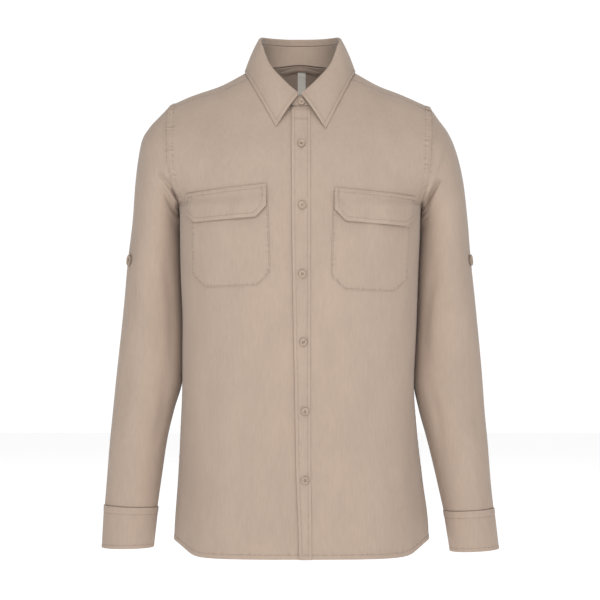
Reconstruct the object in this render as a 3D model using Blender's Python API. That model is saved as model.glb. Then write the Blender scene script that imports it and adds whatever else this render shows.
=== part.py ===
"""A long-sleeved safari shirt as it is worn and filled out, hollow and with nobody in it.

The script's own units are metres, +Z up. The tables below are in millimetres, because a shirt's cut
is written so. The front faces -Y and the wearer's left arm is at +X. The origin is in the middle of
the neck base, at the height of the shoulders that carry the shirt.
"""
import math
from collections import namedtuple

import bpy
import numpy as np
from mathutils.bvhtree import BVHTree

MM = 0.001

# Cloth, in millimetres
WALL = 1.2
STIFF_WALL = 1.6
LABEL_WALL = 0.5
SEAM = 0.3
INNER_SEAM = 1.2
RIGHT = -1
LEFT = 1

# The body, as sections that run from the centre line to the side or the armhole. They follow one
# another from the front hem over the shoulder ridge to the back hem. wrap is the angle by which a
# section turns from the front towards the side, and flare is how far the side stands out of the front
BodyRow = namedtuple("BodyRow", "place centre_y centre_z right left edge_y edge_z wrap square flare")
BODY_ROWS = (
    BodyRow("under the front hem", -133, -770, 196.0, 200.0, 10, -770, 90, 3.0, 13),
    BodyRow("front hem", -133, -700, 194.0, 198.8, 10, -700, 90, 3.0, 13),
    BodyRow("front hip", -131, -620, 188.5, 189.4, 8, -620, 90, 2.9, 12),
    BodyRow("front low waist", -128, -545, 184.5, 180.4, 4, -545, 90, 2.7, 4),
    BodyRow("front waist", -127, -480, 182.0, 176.0, 0, -480, 90, 2.5, 0),
    BodyRow("front ribs", -132, -390, 182.0, 180.0, 0, -390, 90, 2.45, 0),
    BodyRow("front low chest", -137, -300, 184.5, 183.0, 0, -300, 90, 2.4, 0),
    BodyRow("front chest", -137, -240, 185.5, 185.5, 0, -240, 90, 2.55, 0),
    BodyRow("front armpit", -135, -203, 186.0, 186.5, 0, -203, 90, 2.6, 0),
    BodyRow("front armhole foot", -132, -178, 187.0, 187.5, -38, -190, 72, 2.55, 0),
    BodyRow("front armhole bend", -127, -148, 195.0, 194.0, -60, -168, 60, 2.4, 0),
    BodyRow("front armhole middle", -119, -115, 201.5, 198.5, -67, -140, 53, 2.2, 0),
    BodyRow("front armhole top", -103, -80, 203.5, 200.5, -60, -106, 50, 2.1, 0),
    BodyRow("front shoulder", -80, -38, 204.0, 202.0, -43, -78, 48, 2.0, 0),
    BodyRow("front yoke seam", -36, 20, 203.0, 202.5, -20, -56, 48, 2.0, 0),
    BodyRow("shoulder ridge", 0, 39, 201.5, 202.0, 4, -49, 48, 2.0, 0),
    BodyRow("back shoulder", 36, 32, 200.5, 201.0, 28, -56, 48, 2.0, 0),
    BodyRow("back armhole top", 66, 4, 198.0, 198.5, 52, -77, 50, 2.1, 0),
    BodyRow("back armhole middle", 92, -46, 194.0, 194.5, 68, -104, 54, 2.2, 0),
    BodyRow("back yoke seam", 111, -106, 190.0, 190.5, 72, -130, 58, 2.25, 0),
    BodyRow("back armhole bend", 120, -146, 187.0, 187.5, 62, -162, 62, 2.3, 0),
    BodyRow("back armhole foot", 126, -177, 186.0, 186.5, 38, -190, 72, 2.35, 0),
    BodyRow("back armpit", 129, -203, 186.0, 186.5, 0, -203, 90, 2.35, 0),
    BodyRow("back chest", 131, -240, 185.5, 185.5, 0, -240, 90, 2.4, 0),
    BodyRow("back low chest", 129, -300, 184.5, 183.0, 0, -300, 90, 2.4, 0),
    BodyRow("back ribs", 121, -390, 182.0, 180.0, 0, -390, 90, 2.4, 0),
    BodyRow("back waist", 114, -480, 182.0, 176.0, 0, -480, 90, 2.4, 0),
    BodyRow("back low waist", 115, -545, 184.5, 180.4, 4, -545, 90, 2.4, 0),
    BodyRow("back hip", 121, -620, 188.5, 189.4, 8, -620, 90, 2.4, 0),
    BodyRow("back hem", 127, -700, 194.0, 198.8, 10, -700, 90, 2.4, 0),
    BodyRow("under the back hem", 130, -770, 196.0, 200.0, 10, -770, 90, 2.4, 0),
)
RIDGE_ROW = next(row for row in BODY_ROWS if row.place == "shoulder ridge")
FRONT_HALF_WIDTH = 186.0
FLARE_START_Y = -74.0
FLARE_LENGTH = 66.0
CENTRE_ROUND = 0.12
SHOULDER_RISE = {RIGHT: 4.2, LEFT: 0.8}
SHOULDER_RISE_WIDTH = 0.35
SHOULDER_DIP = 4.0
SHOULDER_DIP_ACROSS = 0.58
SHOULDER_DIP_WIDTH = 0.17
SHOULDER_DIP_REACH = 60.0

# The shirt-tail hem
HEM_SIDE_Z = -714.5
HEM_FRONT_Z = -735.2
HEM_BACK_Z = -744.0
HEM_CURVE = 19
LEVEL_ABOVE_HEM_Z = -690.0

# The neckline and the collar
NECK_HALF_WIDTH = 70.0
NECK_HALF_DEPTH = 75.0
NECK_FRONT_Z = -52.0
NECK_BACK_Z = 22.0

# The collar, by the angle from the centre front. top_z is the fold's height, and rise is how far the
# fall's inner side shows above the stand
CollarRow = namedtuple("CollarRow", "angle half_width middle_y half_depth top_z rise")
COLLAR_ROWS = (
    CollarRow(0, 60, -12, 70, -32.5, 4),
    CollarRow(12, 60, -12, 70, -22, 4.2),
    CollarRow(24, 60, -12, 70, -10, 4.8),
    CollarRow(40, 60, -12, 70, 6, 6),
    CollarRow(50, 60, -12, 70, 17, 7),
    CollarRow(60, 60, -12, 70, 31, 8.5),
    CollarRow(72, 60, -12, 70, 47, 10),
    CollarRow(90, 60, -12, 70, 57, 11),
    CollarRow(115, 60, -12, 70, 63, 11.5),
    CollarRow(180, 60, -12, 70, 64, 11.5),
)
FALL_START_ANGLE = 1.6
FOLD_RADIUS = 2.4
LEAF_TIP = {RIGHT: (-35.0, -86.5), LEFT: (37.5, -90.0)}
LEAF_SHOULDER = (82.5, 0.0)
LEAF_SHOULDER_ANGLE = 75.0
LEAF_BACK_DROP = 13.0
LEAF_BOW = 5.0
LEAF_BOW_SKEW = 0.8
STAND_GAP = 0.55
STAND_END_ANGLE = 11.0
STAND_UNDER_DROP = 2.4
STAND_UNDER_FADE = 16.0

# The sleeves, as rings from the armhole to the cuff
SleeveRow = namedtuple("SleeveRow", "outer_x outer_z inner_x inner_z middle_y front back square")
SLEEVE_ROWS = {
    RIGHT: (
        SleeveRow(-201.5, -45.0, -186.0, -203.0, 4, 70, 72, 2.1),
        SleeveRow(-217.0, -60.0, -188.0, -207.0, 6, 69, 72, 2.1),
        SleeveRow(-232.5, -77.0, -189.0, -211.0, 9, 69, 71, 2.1),
        SleeveRow(-245.0, -97.6, -189.3, -217.0, 13, 68, 70, 2.1),
        SleeveRow(-251.5, -128.6, -188.8, -225.0, 17, 68, 70, 2.1),
        SleeveRow(-256.5, -167.4, -187.2, -237.0, 22, 68, 69, 2.15),
        SleeveRow(-261.0, -221.6, -185.7, -257.0, 27, 68, 68, 2.2),
        SleeveRow(-268.2, -283.6, -184.6, -296.0, 30, 67, 66, 2.2),
        SleeveRow(-274.0, -345.6, -183.0, -350.0, 30, 65, 64, 2.2),
        SleeveRow(-281.6, -423.0, -181.5, -424.0, 27, 60, 59, 2.2),
        SleeveRow(-286.2, -469.7, -183.4, -469.7, 21, 57, 56, 2.15),
        SleeveRow(-290.4, -516.0, -195.5, -516.0, 13, 54, 53, 2.1),
        SleeveRow(-294.5, -562.7, -206.0, -562.7, 4, 51, 50, 2.1),
        SleeveRow(-299.0, -624.7, -214.5, -626.0, -6, 46, 46, 2.05),
        SleeveRow(-301.8, -661.0, -219.5, -664.0, -12, 41, 41, 2.0),
    ),
    LEFT: (
        SleeveRow(202.0, -49.0, 186.5, -203.0, 4, 70, 72, 2.1),
        SleeveRow(214.0, -66.4, 188.5, -207.0, 6, 69, 72, 2.1),
        SleeveRow(226.5, -81.7, 189.5, -211.0, 9, 69, 71, 2.1),
        SleeveRow(236.0, -97.6, 189.5, -217.0, 13, 68, 70, 2.1),
        SleeveRow(246.0, -125.0, 189.0, -225.0, 17, 68, 70, 2.1),
        SleeveRow(254.5, -163.0, 187.4, -237.0, 22, 68, 69, 2.15),
        SleeveRow(261.3, -221.6, 185.4, -257.0, 27, 68, 68, 2.2),
        SleeveRow(266.6, -283.6, 183.0, -296.0, 30, 67, 66, 2.2),
        SleeveRow(272.8, -345.6, 181.4, -350.0, 30, 65, 64, 2.2),
        SleeveRow(280.0, -423.0, 178.2, -424.0, 27, 60, 59, 2.2),
        SleeveRow(283.8, -469.7, 176.8, -469.7, 21, 57, 56, 2.15),
        SleeveRow(286.8, -516.0, 185.0, -516.0, 13, 54, 53, 2.1),
        SleeveRow(290.6, -562.7, 197.3, -562.7, 4, 51, 50, 2.1),
        SleeveRow(294.8, -624.7, 212.0, -624.7, -6, 46, 46, 2.05),
        SleeveRow(299.2, -666.0, 222.0, -670.0, -12, 41, 41, 2.0),
    ),
}
SLEEVE_BLEND = 3.0

# The cuffs run on from the last sleeve ring to this one
CUFF_ROWS = {
    RIGHT: SleeveRow(-305.2, -727.0, -226.2, -726.0, -17, 39, 39, 2.0),
    LEFT: SleeveRow(306.2, -729.0, 231.8, -732.5, -17, 39, 39, 2.0),
}
CUFF_PROUD = 0.9
CUFF_START = -128.0
CUFF_OVERLAP = 34.0
CUFF_UNDER_FADE = 14.0
CUFF_COUNT = 26
CUFF_SHARES = (0.006, 0.35, 0.7, 1.0)

# The plain strips that close the sleeve vents, by angle and ring
VENT_ANGLES = (-62.0, -36.0)
VENT_RINGS = (11.6, 13.9)

# The creases in the front and back of each armpit: ring and width say where a crease lies along the
# sleeve, and start and end are its angles round the sleeve
SleeveFold = namedtuple("SleeveFold", "ring width depth start end")
SLEEVE_FOLDS = (
    SleeveFold(3.1, 0.62, 9.0, 84, 178),
    SleeveFold(5.0, 0.45, 4.0, 128, 176),
    SleeveFold(3.3, 0.60, 8.0, -178, -92),
    SleeveFold(5.2, 0.45, 4.0, -176, -132),
)
SLEEVE_FOLD_FADE = 0.7

# What is sewn on the fronts, by its corners on the cloth as seen from the front
Patch = namedtuple("Patch", "top_inner top_outer foot_outer foot_inner cut")
POCKETS = {
    RIGHT: Patch((-48.5, -176), (-165, -186), (-162, -328), (-43.5, -323), 20),
    LEFT: Patch((49.5, -182), (168, -190), (162, -334), (46.0, -329), 20),
}
FLAPS = {
    RIGHT: Patch((-50.0, -170.5), (-173, -183.5), (-172, -229), (-50.0, -220), 15.5),
    LEFT: Patch((51.5, -176.5), (174.5, -187.5), (173, -235), (51.5, -226), 15.5),
}
FLAP_LIFT = 2.6
FLAP_LIFT_SHARE = 1 / 3
PATCH_GAP = 0.5
FLAP_GAP = 1.0

# The placket strip, by height
PlacketRow = namedtuple("PlacketRow", "z right left")
PLACKET_ROWS = (
    PlacketRow(-54, -13.0, 16.0),
    PlacketRow(-200, -12.5, 16.0),
    PlacketRow(-346, -10.5, 16.0),
    PlacketRow(-480, -8.0, 16.0),
    PlacketRow(-600, -6.0, 16.5),
    PlacketRow(-680, -3.0, 17.5),
    PlacketRow(-745, -1.0, 18.0),
)
PLACKET_FOOT_Z = -735.5
PLACKET_TOP_Z = -64.0
PLACKET_TIP_Z = -57.0
PLACKET_COUNT = 30
PLACKET_MARGIN = 0.6
UNDERLAP = 13.0
UNDER_DROP = 2.0
UNDER_START = -36.0
UNDER_LENGTH = 19.0

# Buttons: a raised rim round a dished middle, each ring as a share of the radius and the thickness
BUTTON_DIAMETER = 12.7
BUTTON_THICKNESS = 2.6
SLEEVE_BUTTON_DIAMETER = 18.0
CUFF_BUTTON_DIAMETER = 11.5
FRONT_BUTTONS = ((2.1, -110.7), (3.2, -203.4), (3.6, -306.4), (5.1, -408.7), (7.4, -513.0), (7.5, -616.5))
BUTTON_SEGMENTS = 12
ButtonRing = namedtuple("ButtonRing", "radius height")
BUTTON_RINGS = (
    ButtonRing(0.86, 0.0),
    ButtonRing(1.0, 0.42),
    ButtonRing(0.9, 0.92),
    ButtonRing(0.72, 1.0),
    ButtonRing(0.56, 0.6),
)
SEAT_SHARES = (0.0, 0.6, 1.05)
STAND_BUTTON_ACROSS = 2.2
STAND_BUTTON_DROP = 1.6
STAND_BUTTON_DIAMETER = 11.6
SLEEVE_BUTTON_RING = 7.0
SLEEVE_BUTTON_ANGLE = {RIGHT: 30.0, LEFT: 22.0}

# Inside the back neck
STRIP_TOP = 1.8
LABEL_MIDDLE_X = 2.7

# How finely the body's pieces are cut into faces
SIDE_COUNT = 11
BODY_ROWS_BELOW = 13
ARMHOLE_YOKE_COUNT = 4
ARMHOLE_BACK_COUNT = 6
ARMHOLE_FOOT_SHARES = (0.0, 0.09, 0.19, 0.31, 0.5, 0.73, 1.0)
NECK_FRONT_COUNT = 5
NECK_DROP = 0.8
YOKE_BACK_ANGLE = 112.0

# Colours and finish
CLOTH_COLOUR = (0.50, 0.39, 0.31, 1.0)
LABEL_COLOUR = (0.62, 0.61, 0.56, 1.0)
BUTTON_COLOUR = (0.60, 0.48, 0.35, 1.0)

# The strips that hang inside the back neck, each on the ones before it
NeckStrip = namedtuple("NeckStrip", "name width foot length wall rows cols colour under")
NECK_STRIPS = (
    NeckStrip("care_label", 13.0, 13.0, 48.0, LABEL_WALL, 6, 2, LABEL_COLOUR, ("yoke",)),
    NeckStrip("size_label", 13.2, 13.2, 15.0, LABEL_WALL, 3, 2, LABEL_COLOUR, ("yoke", "care_label")),
    NeckStrip("hanger_loop", 61.0, 49.0, 7.5, 1.0, 2, 8, CLOTH_COLOUR, ("yoke", "care_label", "size_label")),
)


# Surfaces of the finished pieces, for what is laid on them, and how far a ray looks for one
BUILT = {}
PROBE = 14.0


class Track:
    """A smooth curve through one column of a table, which never overshoots its rows."""

    def __init__(self, places, values):
        self.places = np.asarray(places, float)
        self.values = np.asarray(values, float)
        step = np.diff(self.places)
        rate = np.diff(self.values) / step
        near = 2 * step[1:] + step[:-1]
        far = step[1:] + 2 * step[:-1]
        turns = rate[:-1] * rate[1:] <= 0
        safe = np.where(turns, 1.0, rate[:-1])
        safe_next = np.where(turns, 1.0, rate[1:])
        middle = (near + far) / (near / safe + far / safe_next)
        self.slopes = np.concatenate(([rate[0]], np.where(turns, 0.0, middle), [rate[-1]]))

    def __call__(self, place):
        low = np.clip(np.searchsorted(self.places, place) - 1, 0, len(self.places) - 2)
        step = self.places[low + 1] - self.places[low]
        t = (place - self.places[low]) / step
        value = self.values[low] * (1 + 2 * t) * (1 - t) ** 2
        value = value + self.values[low + 1] * t ** 2 * (3 - 2 * t)
        value = value + self.slopes[low] * step * t * (1 - t) ** 2
        return value + self.slopes[low + 1] * step * t ** 2 * (t - 1)


def smooth(value):
    """Runs from 0 to 1 with level ends."""
    value = np.clip(value, 0.0, 1.0)
    return value * value * (3 - 2 * value)


def spread(low, high, count):
    """Even steps from low to high, ends included."""
    return np.linspace(low, high, count + 1)


def columns(rows, places):
    """One Track for each named column of a table of numbers."""
    names = [name for name in rows[0]._fields if name not in ("place", "angle", "z")]
    return {name: Track(places, [getattr(row, name) for row in rows]) for name in names}


def walk(rows):
    """How far along the centre line each body row lies, from the first one."""
    steps = [math.dist((a.centre_y, a.centre_z), (b.centre_y, b.centre_z)) for a, b in zip(rows, rows[1:])]
    return np.concatenate(([0.0], np.cumsum(steps)))


BODY_PLACES = walk(BODY_ROWS)
BODY = columns(BODY_ROWS, BODY_PLACES)
PLACE = {row.place: place for row, place in zip(BODY_ROWS, BODY_PLACES)}
RIDGE = PLACE["shoulder ridge"]
FRONT_SEAM = PLACE["front yoke seam"]
BACK_SEAM = PLACE["back yoke seam"]
COLLAR = columns(COLLAR_ROWS, [row.angle for row in COLLAR_ROWS])
PLACKET = columns(PLACKET_ROWS[::-1], [row.z for row in PLACKET_ROWS[::-1]])


def roundness(across, square):
    """Depth of a rounded square section at a share of its half-width, 0 in the middle and 1 at the side."""
    return 1 - np.maximum(0.0, 1 - across ** square) ** (1 / square)


def body_point(side, across, place):
    """A point on the outside of the body's cloth: across is 0 at the centre and 1 at the side or armhole."""
    half = BODY["right" if side < 0 else "left"](place)
    reach = np.sin(np.radians(BODY["wrap"](place)))
    square = BODY["square"](place)
    flare = BODY["flare"](place)
    share = np.abs(across)
    bend = roundness(share * reach, square) / roundness(reach, square)
    y = BODY["centre_y"](place) + (BODY["edge_y"](place) - BODY["centre_y"](place)) * bend
    x = across * (half - flare) + flare * smooth((y - FLARE_START_Y) / FLARE_LENGTH) * np.sign(across)
    x = np.where(place > RIDGE, across * half, x)
    slope = (np.hypot(share, CENTRE_ROUND) - CENTRE_ROUND) / (math.hypot(1.0, CENTRE_ROUND) - CENTRE_ROUND)
    z = BODY["centre_z"](place) + (BODY["edge_z"](place) - BODY["centre_z"](place)) * slope
    near_ridge = np.exp(-((place - RIDGE) / SHOULDER_DIP_REACH) ** 2)
    z = z - SHOULDER_DIP * near_ridge * np.exp(-((share - SHOULDER_DIP_ACROSS) / SHOULDER_DIP_WIDTH) ** 2)
    z = z + SHOULDER_RISE[side] * near_ridge * smooth((share - SHOULDER_DIP_ACROSS) / SHOULDER_RISE_WIDTH)
    return np.stack(np.broadcast_arrays(side * x, y, z), axis=-1)


def unit(vectors):
    return vectors / np.maximum(np.linalg.norm(vectors, axis=-1, keepdims=True), 1e-9)


def body(side, across, place, lift=0.0):
    """A point of the body's cloth moved out by lift along the cloth's normal."""
    across, place = np.broadcast_arrays(np.asarray(across, float), np.asarray(place, float))
    low_across = across - 0.004
    high_across = np.minimum(across + 0.004, 1.0)
    along_across = body_point(side, high_across, place) - body_point(side, low_across, place)
    along_place = body_point(side, across, place + 1.0) - body_point(side, across, place - 1.0)
    normal = unit(np.cross(along_across, along_place)) * side
    return body_point(side, across, place) + normal * np.asarray(lift)[..., None]


def place_at(side, across, z, low, high):
    """The place along the body where a column reaches the height z, found by halving."""
    across, z = np.broadcast_arrays(np.asarray(across, float), np.asarray(z, float))
    low = np.full(across.shape, float(low))
    high = np.full(across.shape, float(high))
    rising = body_point(side, across, high)[..., 2] > body_point(side, across, low)[..., 2]
    for _ in range(40):
        middle = (low + high) / 2
        above = (body_point(side, across, middle)[..., 2] > z) == rising
        high = np.where(above, middle, high)
        low = np.where(above, low, middle)
    return (low + high) / 2


def front_place(side, x, z):
    """Across and place of the front's cloth that lies at x and z as seen from the front."""
    x, z = np.broadcast_arrays(np.asarray(x, float), np.asarray(z, float))
    across = np.clip(side * x / FRONT_HALF_WIDTH, -0.3, 0.999)
    for _ in range(12):
        place = place_at(side, across, z, 0.0, RIDGE)
        width = body_point(side, np.maximum(across, 0.05), place)[..., 0] / np.maximum(across, 0.05)
        across = np.clip(x / width, -0.3, 0.999)
    return across, place


def on_front(side, x, z, lift):
    across, place = front_place(side, x, z)
    return body(side, across, place, lift)


def hem_place(side, across, front):
    """Place of the shirt-tail hem, which drops quickly from the side seam."""
    middle_z = HEM_FRONT_Z if front else HEM_BACK_Z
    z = HEM_SIDE_Z + (middle_z - HEM_SIDE_Z) * (1 - np.abs(across) ** HEM_CURVE)
    if front:
        return place_at(side, across, z, 0.0, PLACE["front waist"])
    return place_at(side, across, z, PLACE["back waist"], BODY_PLACES[-1])


NECK_FRONT = float(place_at(RIGHT, 0.0, NECK_FRONT_Z, PLACE["front armpit"], RIDGE))
NECK_BACK = float(place_at(RIGHT, 0.0, NECK_BACK_Z, RIDGE, PLACE["back armpit"]))
NECK_ACROSS = NECK_HALF_WIDTH / RIDGE_ROW.right
NECK_SEAM_ANGLE = math.degrees(math.acos((RIDGE - FRONT_SEAM) / (RIDGE - NECK_FRONT)))


def neckline(angle):
    """Across and place of the neckline at an angle from the centre front."""
    turn = np.radians(angle)
    reach = np.where(np.cos(turn) > 0, RIDGE - NECK_FRONT, NECK_BACK - RIDGE)
    return NECK_ACROSS * np.sin(turn), RIDGE - reach * np.cos(turn)


def settle(grids, directions, names, rows=slice(None), gap=SEAM):
    """Moves a sheet out until its near side, the second grid, clears the built pieces by a gap."""
    outer, inner = (grid.copy() for grid in grids)
    trees = [BUILT[name] for name in names]
    steps = [(down, over) for down in np.linspace(0, 1, 4) for over in np.linspace(0, 1, 4)]
    for _ in range(5):
        lift = np.zeros(inner.shape[:2])
        for row in range(inner.shape[0] - 1):
            for col in range(inner.shape[1] - 1):
                way = unit(directions[row:row + 2, col:col + 2].sum(axis=(0, 1)))
                need = 0.0
                for point in cell_points(inner[row:row + 2, col:col + 2], steps):
                    for tree in trees:
                        hit = tree.ray_cast(point + way * PROBE, -way, 2 * PROBE)
                        if hit[0] is not None:
                            need = max(need, PROBE - hit[3] + gap)
                lift[row:row + 2, col:col + 2] = np.maximum(lift[row:row + 2, col:col + 2], need)
        if lift[rows].max() < 0.02:
            break
        outer[rows] += directions[rows] * lift[rows][..., None]
        inner[rows] += directions[rows] * lift[rows][..., None]
    return outer, inner


def cell_points(cell, steps):
    """Points on both ways to cut a four-sided cell into triangles."""
    (a, b), (c, d) = cell
    for down, over in steps:
        if down > over:
            yield a + (d - c) * over + (c - a) * down
        else:
            yield a + (b - a) * over + (d - b) * down
        if down + over < 1:
            yield a + (b - a) * over + (c - a) * down
        else:
            yield d + (c - d) * (1 - over) + (b - d) * (1 - down)


def add_solid(name, grids, colour, closed=False):
    """Makes one closed wall from an outer and an inner grid of points, joined by rims."""
    outer, inner = grids
    rows, cols = outer.shape[:2]
    points = np.concatenate((outer.reshape(-1, 3), inner.reshape(-1, 3)))
    offset = rows * cols

    def at(layer, row, col):
        return layer * offset + row * cols + col % cols

    faces = []
    for row in range(rows - 1):
        for col in range(cols if closed else cols - 1):
            faces.append((at(0, row, col), at(0, row, col + 1), at(0, row + 1, col + 1), at(0, row + 1, col)))
            faces.append((at(1, row, col), at(1, row + 1, col), at(1, row + 1, col + 1), at(1, row, col + 1)))
    for col in range(cols if closed else cols - 1):
        last = rows - 1
        faces.append((at(0, 0, col), at(1, 0, col), at(1, 0, col + 1), at(0, 0, col + 1)))
        faces.append((at(0, last, col + 1), at(1, last, col + 1), at(1, last, col), at(0, last, col)))
    if not closed:
        for row in range(rows - 1):
            end = cols - 1
            faces.append((at(0, row + 1, 0), at(1, row + 1, 0), at(1, row, 0), at(0, row, 0)))
            faces.append((at(0, row, end), at(1, row, end), at(1, row + 1, end), at(0, row + 1, end)))
    add_mesh(name, points, [part for face in faces for part in halved(points, face)], colour)


def halved(points, face):
    """Cuts a four-sided face along its shorter diagonal."""
    a, b, c, d = face
    if np.linalg.norm(points[a] - points[c]) <= np.linalg.norm(points[b] - points[d]):
        return (a, b, c), (a, c, d)
    return (a, b, d), (b, c, d)


def add_mesh(name, points, faces, colour):
    """Makes an outward-facing mesh from points in millimetres, and keeps its surface for what lies on it."""
    mesh = bpy.data.meshes.new(name)
    mesh.from_pydata([tuple(point * MM) for point in points], [], faces)
    mesh.update()
    if signed_volume(mesh) < 0:
        mesh.flip_normals()
    BUILT[name] = BVHTree.FromPolygons([tuple(point) for point in points], faces)
    finish(name, mesh, colour)


def signed_volume(mesh):
    mesh.calc_loop_triangles()
    total = 0.0
    for triangle in mesh.loop_triangles:
        a, b, c = (mesh.vertices[index].co for index in triangle.vertices)
        total += a.dot(b.cross(c))
    return total / 6


def finish(name, mesh, colour):
    """Puts a mesh in the scene with its own plain material."""
    material = bpy.data.materials.new(name + "_finish")
    material.use_nodes = True
    shader = material.node_tree.nodes["Principled BSDF"]
    shader.inputs["Base Color"].default_value = colour
    shader.inputs["Roughness"].default_value = 0.35 if colour == BUTTON_COLOUR else 0.9
    mesh.materials.append(material)
    mesh.shade_smooth()
    mesh.set_sharp_from_angle(angle=math.radians(40))
    piece = bpy.data.objects.new(name, mesh)
    bpy.context.scene.collection.objects.link(piece)
    return piece


def pull_in(grid, distance, closed=False, ends=(True, True, True, True)):
    """Draws a grid's first and last row and column back from a seam by a distance along the cloth."""
    grid = grid.copy()
    first_row, last_row, first_col, last_col = ends
    if first_row:
        grid[0] += unit(grid[1] - grid[0]) * distance
    if last_row:
        grid[-1] += unit(grid[-2] - grid[-1]) * distance
    if not closed and first_col:
        grid[:, 0] += unit(grid[:, 1] - grid[:, 0]) * distance
    if not closed and last_col:
        grid[:, -1] += unit(grid[:, -2] - grid[:, -1]) * distance
    return grid


def walls(surface, thickness, closed=False, ends=(True, True, True, True)):
    """Outer and inner grids of a sheet: surface takes how far out of the sheet a point lies."""
    outer = pull_in(surface(0.0), SEAM / 2, closed, ends)
    inner = pull_in(surface(-thickness), INNER_SEAM / 2, closed, ends)
    return outer, inner


# Where the body's pieces are cut
ACROSS = np.sin(np.radians(spread(0, 90, SIDE_COUNT)))
NECK_ANGLES = spread(0, NECK_SEAM_ANGLE, NECK_FRONT_COUNT)
FRONT_ARMHOLE = np.concatenate((
    PLACE["front armpit"] + (NECK_FRONT - PLACE["front armpit"]) * np.array(ARMHOLE_FOOT_SHARES),
    neckline(NECK_ANGLES)[1][1:],
))
YOKE_ARMHOLE = spread(FRONT_SEAM, BACK_SEAM, ARMHOLE_YOKE_COUNT)
BACK_ARMHOLE = spread(BACK_SEAM, PLACE["back armpit"], ARMHOLE_BACK_COUNT)


def under_drop(x):
    """How far the right front sinks to lie under the left one at the centre."""
    return UNDER_DROP * smooth((x - UNDER_START) / UNDER_LENGTH)


def rows_below_armpit(side):
    """Places of a front's level rows between the hem and the armpit."""
    level = float(place_at(side, 0.5, LEVEL_ABOVE_HEM_Z, 0.0, PLACE["front waist"]))
    return spread(level, PLACE["front armpit"], BODY_ROWS_BELOW)[:-1]


def front_grid(side, lift):
    """Rows from the hem to the yoke seam, and columns from the centre or the neckline to the side."""
    rows = [None] + list(rows_below_armpit(side)) + list(FRONT_ARMHOLE)
    grid = []
    for row in rows:
        if row is None:
            start = centre_share(side, HEM_FRONT_Z)
            across = start + (1 - start) * ACROSS
            places = hem_place(side, across, True)
        elif row <= NECK_FRONT + 0.01:
            start = centre_share(side, float(body_point(side, 0.0, row)[2]))
            across = start + (1 - start) * ACROSS
            places = np.full(across.shape, row)
            if row > NECK_FRONT - 0.01:
                places -= NECK_DROP * (1 - ACROSS)
        else:
            turn = math.acos(min(1.0, (RIDGE - row) / (RIDGE - NECK_FRONT)))
            start = float(NECK_ACROSS * math.sin(turn))
            across = start + (1 - start) * ACROSS
            places = np.full(across.shape, row)
            places[0] -= NECK_DROP * math.cos(turn)
        drop = 0.0
        if side == RIGHT:
            drop = under_drop(body_point(side, across, places)[..., 0])
        grid.append(body(side, across, places, lift - drop))
    return np.array(grid)


def centre_share(side, z):
    """Where a front's free edge lies, past the centre line."""
    if side == RIGHT:
        return -UNDERLAP / FRONT_HALF_WIDTH
    return (float(PLACKET["right"](z)) + PLACKET_MARGIN) / FRONT_HALF_WIDTH


def back_grid(lift):
    """Rows from the yoke seam to the hem, and columns from side to side."""
    seam_z = body_point(RIGHT, 1.0, rows_below_armpit(RIGHT))[::-1, 2]
    below = place_at(RIGHT, 1.0, seam_z, PLACE["back armpit"], BODY_PLACES[-1])
    rows = list(BACK_ARMHOLE) + list(below)
    halves = []
    for side in (RIGHT, LEFT):
        grid = [body(side, ACROSS, np.full(ACROSS.shape, row), lift) for row in rows]
        grid.append(body(side, ACROSS, hem_place(side, ACROSS, False), lift))
        halves.append(np.array(grid))
    return np.concatenate((halves[0][:, ::-1], halves[1][:, 1:]), axis=1)


def yoke_half(side, lift):
    """Rows round the neck from the front seam to the centre back, and columns from neck to edge."""
    share = ACROSS
    grid = []
    for angle, edge in zip(spread(NECK_SEAM_ANGLE, YOKE_BACK_ANGLE, ARMHOLE_YOKE_COUNT), YOKE_ARMHOLE):
        start, place = neckline(angle)
        grid.append(body(side, start + (1 - start) * share, place + (edge - place) * share, lift))
    back_angles = 180 - (180 - YOKE_BACK_ANGLE) * ACROSS[::-1]
    for angle, edge in list(zip(back_angles, ACROSS[::-1]))[1:]:
        start, place = neckline(angle)
        grid.append(body(side, start + (edge - start) * share, place + (BACK_SEAM - place) * share, lift))
    return np.array(grid)


def yoke_grid(lift):
    halves = [yoke_half(side, lift) for side in (RIGHT, LEFT)]
    return np.concatenate((halves[0], halves[1][::-1][1:]), axis=0)


# Sleeves
def ring_frame(side, ring):
    """A sleeve ring's sizes at any place between two rows of the table."""
    rows = SLEEVE_ROWS[side]
    track = {name: Track(range(len(rows)), [getattr(row, name) for row in rows]) for name in rows[0]._fields}
    return {name: column(ring) for name, column in track.items()}


def ring_point(side, angle, ring):
    return frame_point(ring_frame(side, ring), angle)


def frame_point(frame, angle):
    """A point of a sleeve ring: 0 degrees is outermost, 90 in front and 180 at the underarm."""
    turn = np.radians(angle)
    power = 2 / frame["square"]
    top = np.sign(np.cos(turn)) * np.abs(np.cos(turn)) ** power
    forward = np.sign(np.sin(turn)) * np.abs(np.sin(turn)) ** power
    depth = np.where(forward > 0, frame["front"], frame["back"])
    x = (frame["outer_x"] + frame["inner_x"]) / 2 + top * (frame["outer_x"] - frame["inner_x"]) / 2
    z = (frame["outer_z"] + frame["inner_z"]) / 2 + top * (frame["outer_z"] - frame["inner_z"]) / 2
    y = frame["middle_y"] - forward * depth
    return np.stack(np.broadcast_arrays(x, y, z), axis=-1)


def armhole_angle(side, place):
    """The angle round the first sleeve ring at which a place of the armhole lies."""
    point = body_point(side, 1.0, place)
    row = SLEEVE_ROWS[side][0]
    middle = np.array([(row.outer_x + row.inner_x) / 2, row.middle_y, (row.outer_z + row.inner_z) / 2])
    axis = np.array([row.outer_x, row.middle_y, row.outer_z]) - middle
    top = (point - middle) @ axis / (axis @ axis)
    forward = -(point[..., 1] - row.middle_y) / row.front
    return np.degrees(np.arctan2(forward, top))


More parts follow.
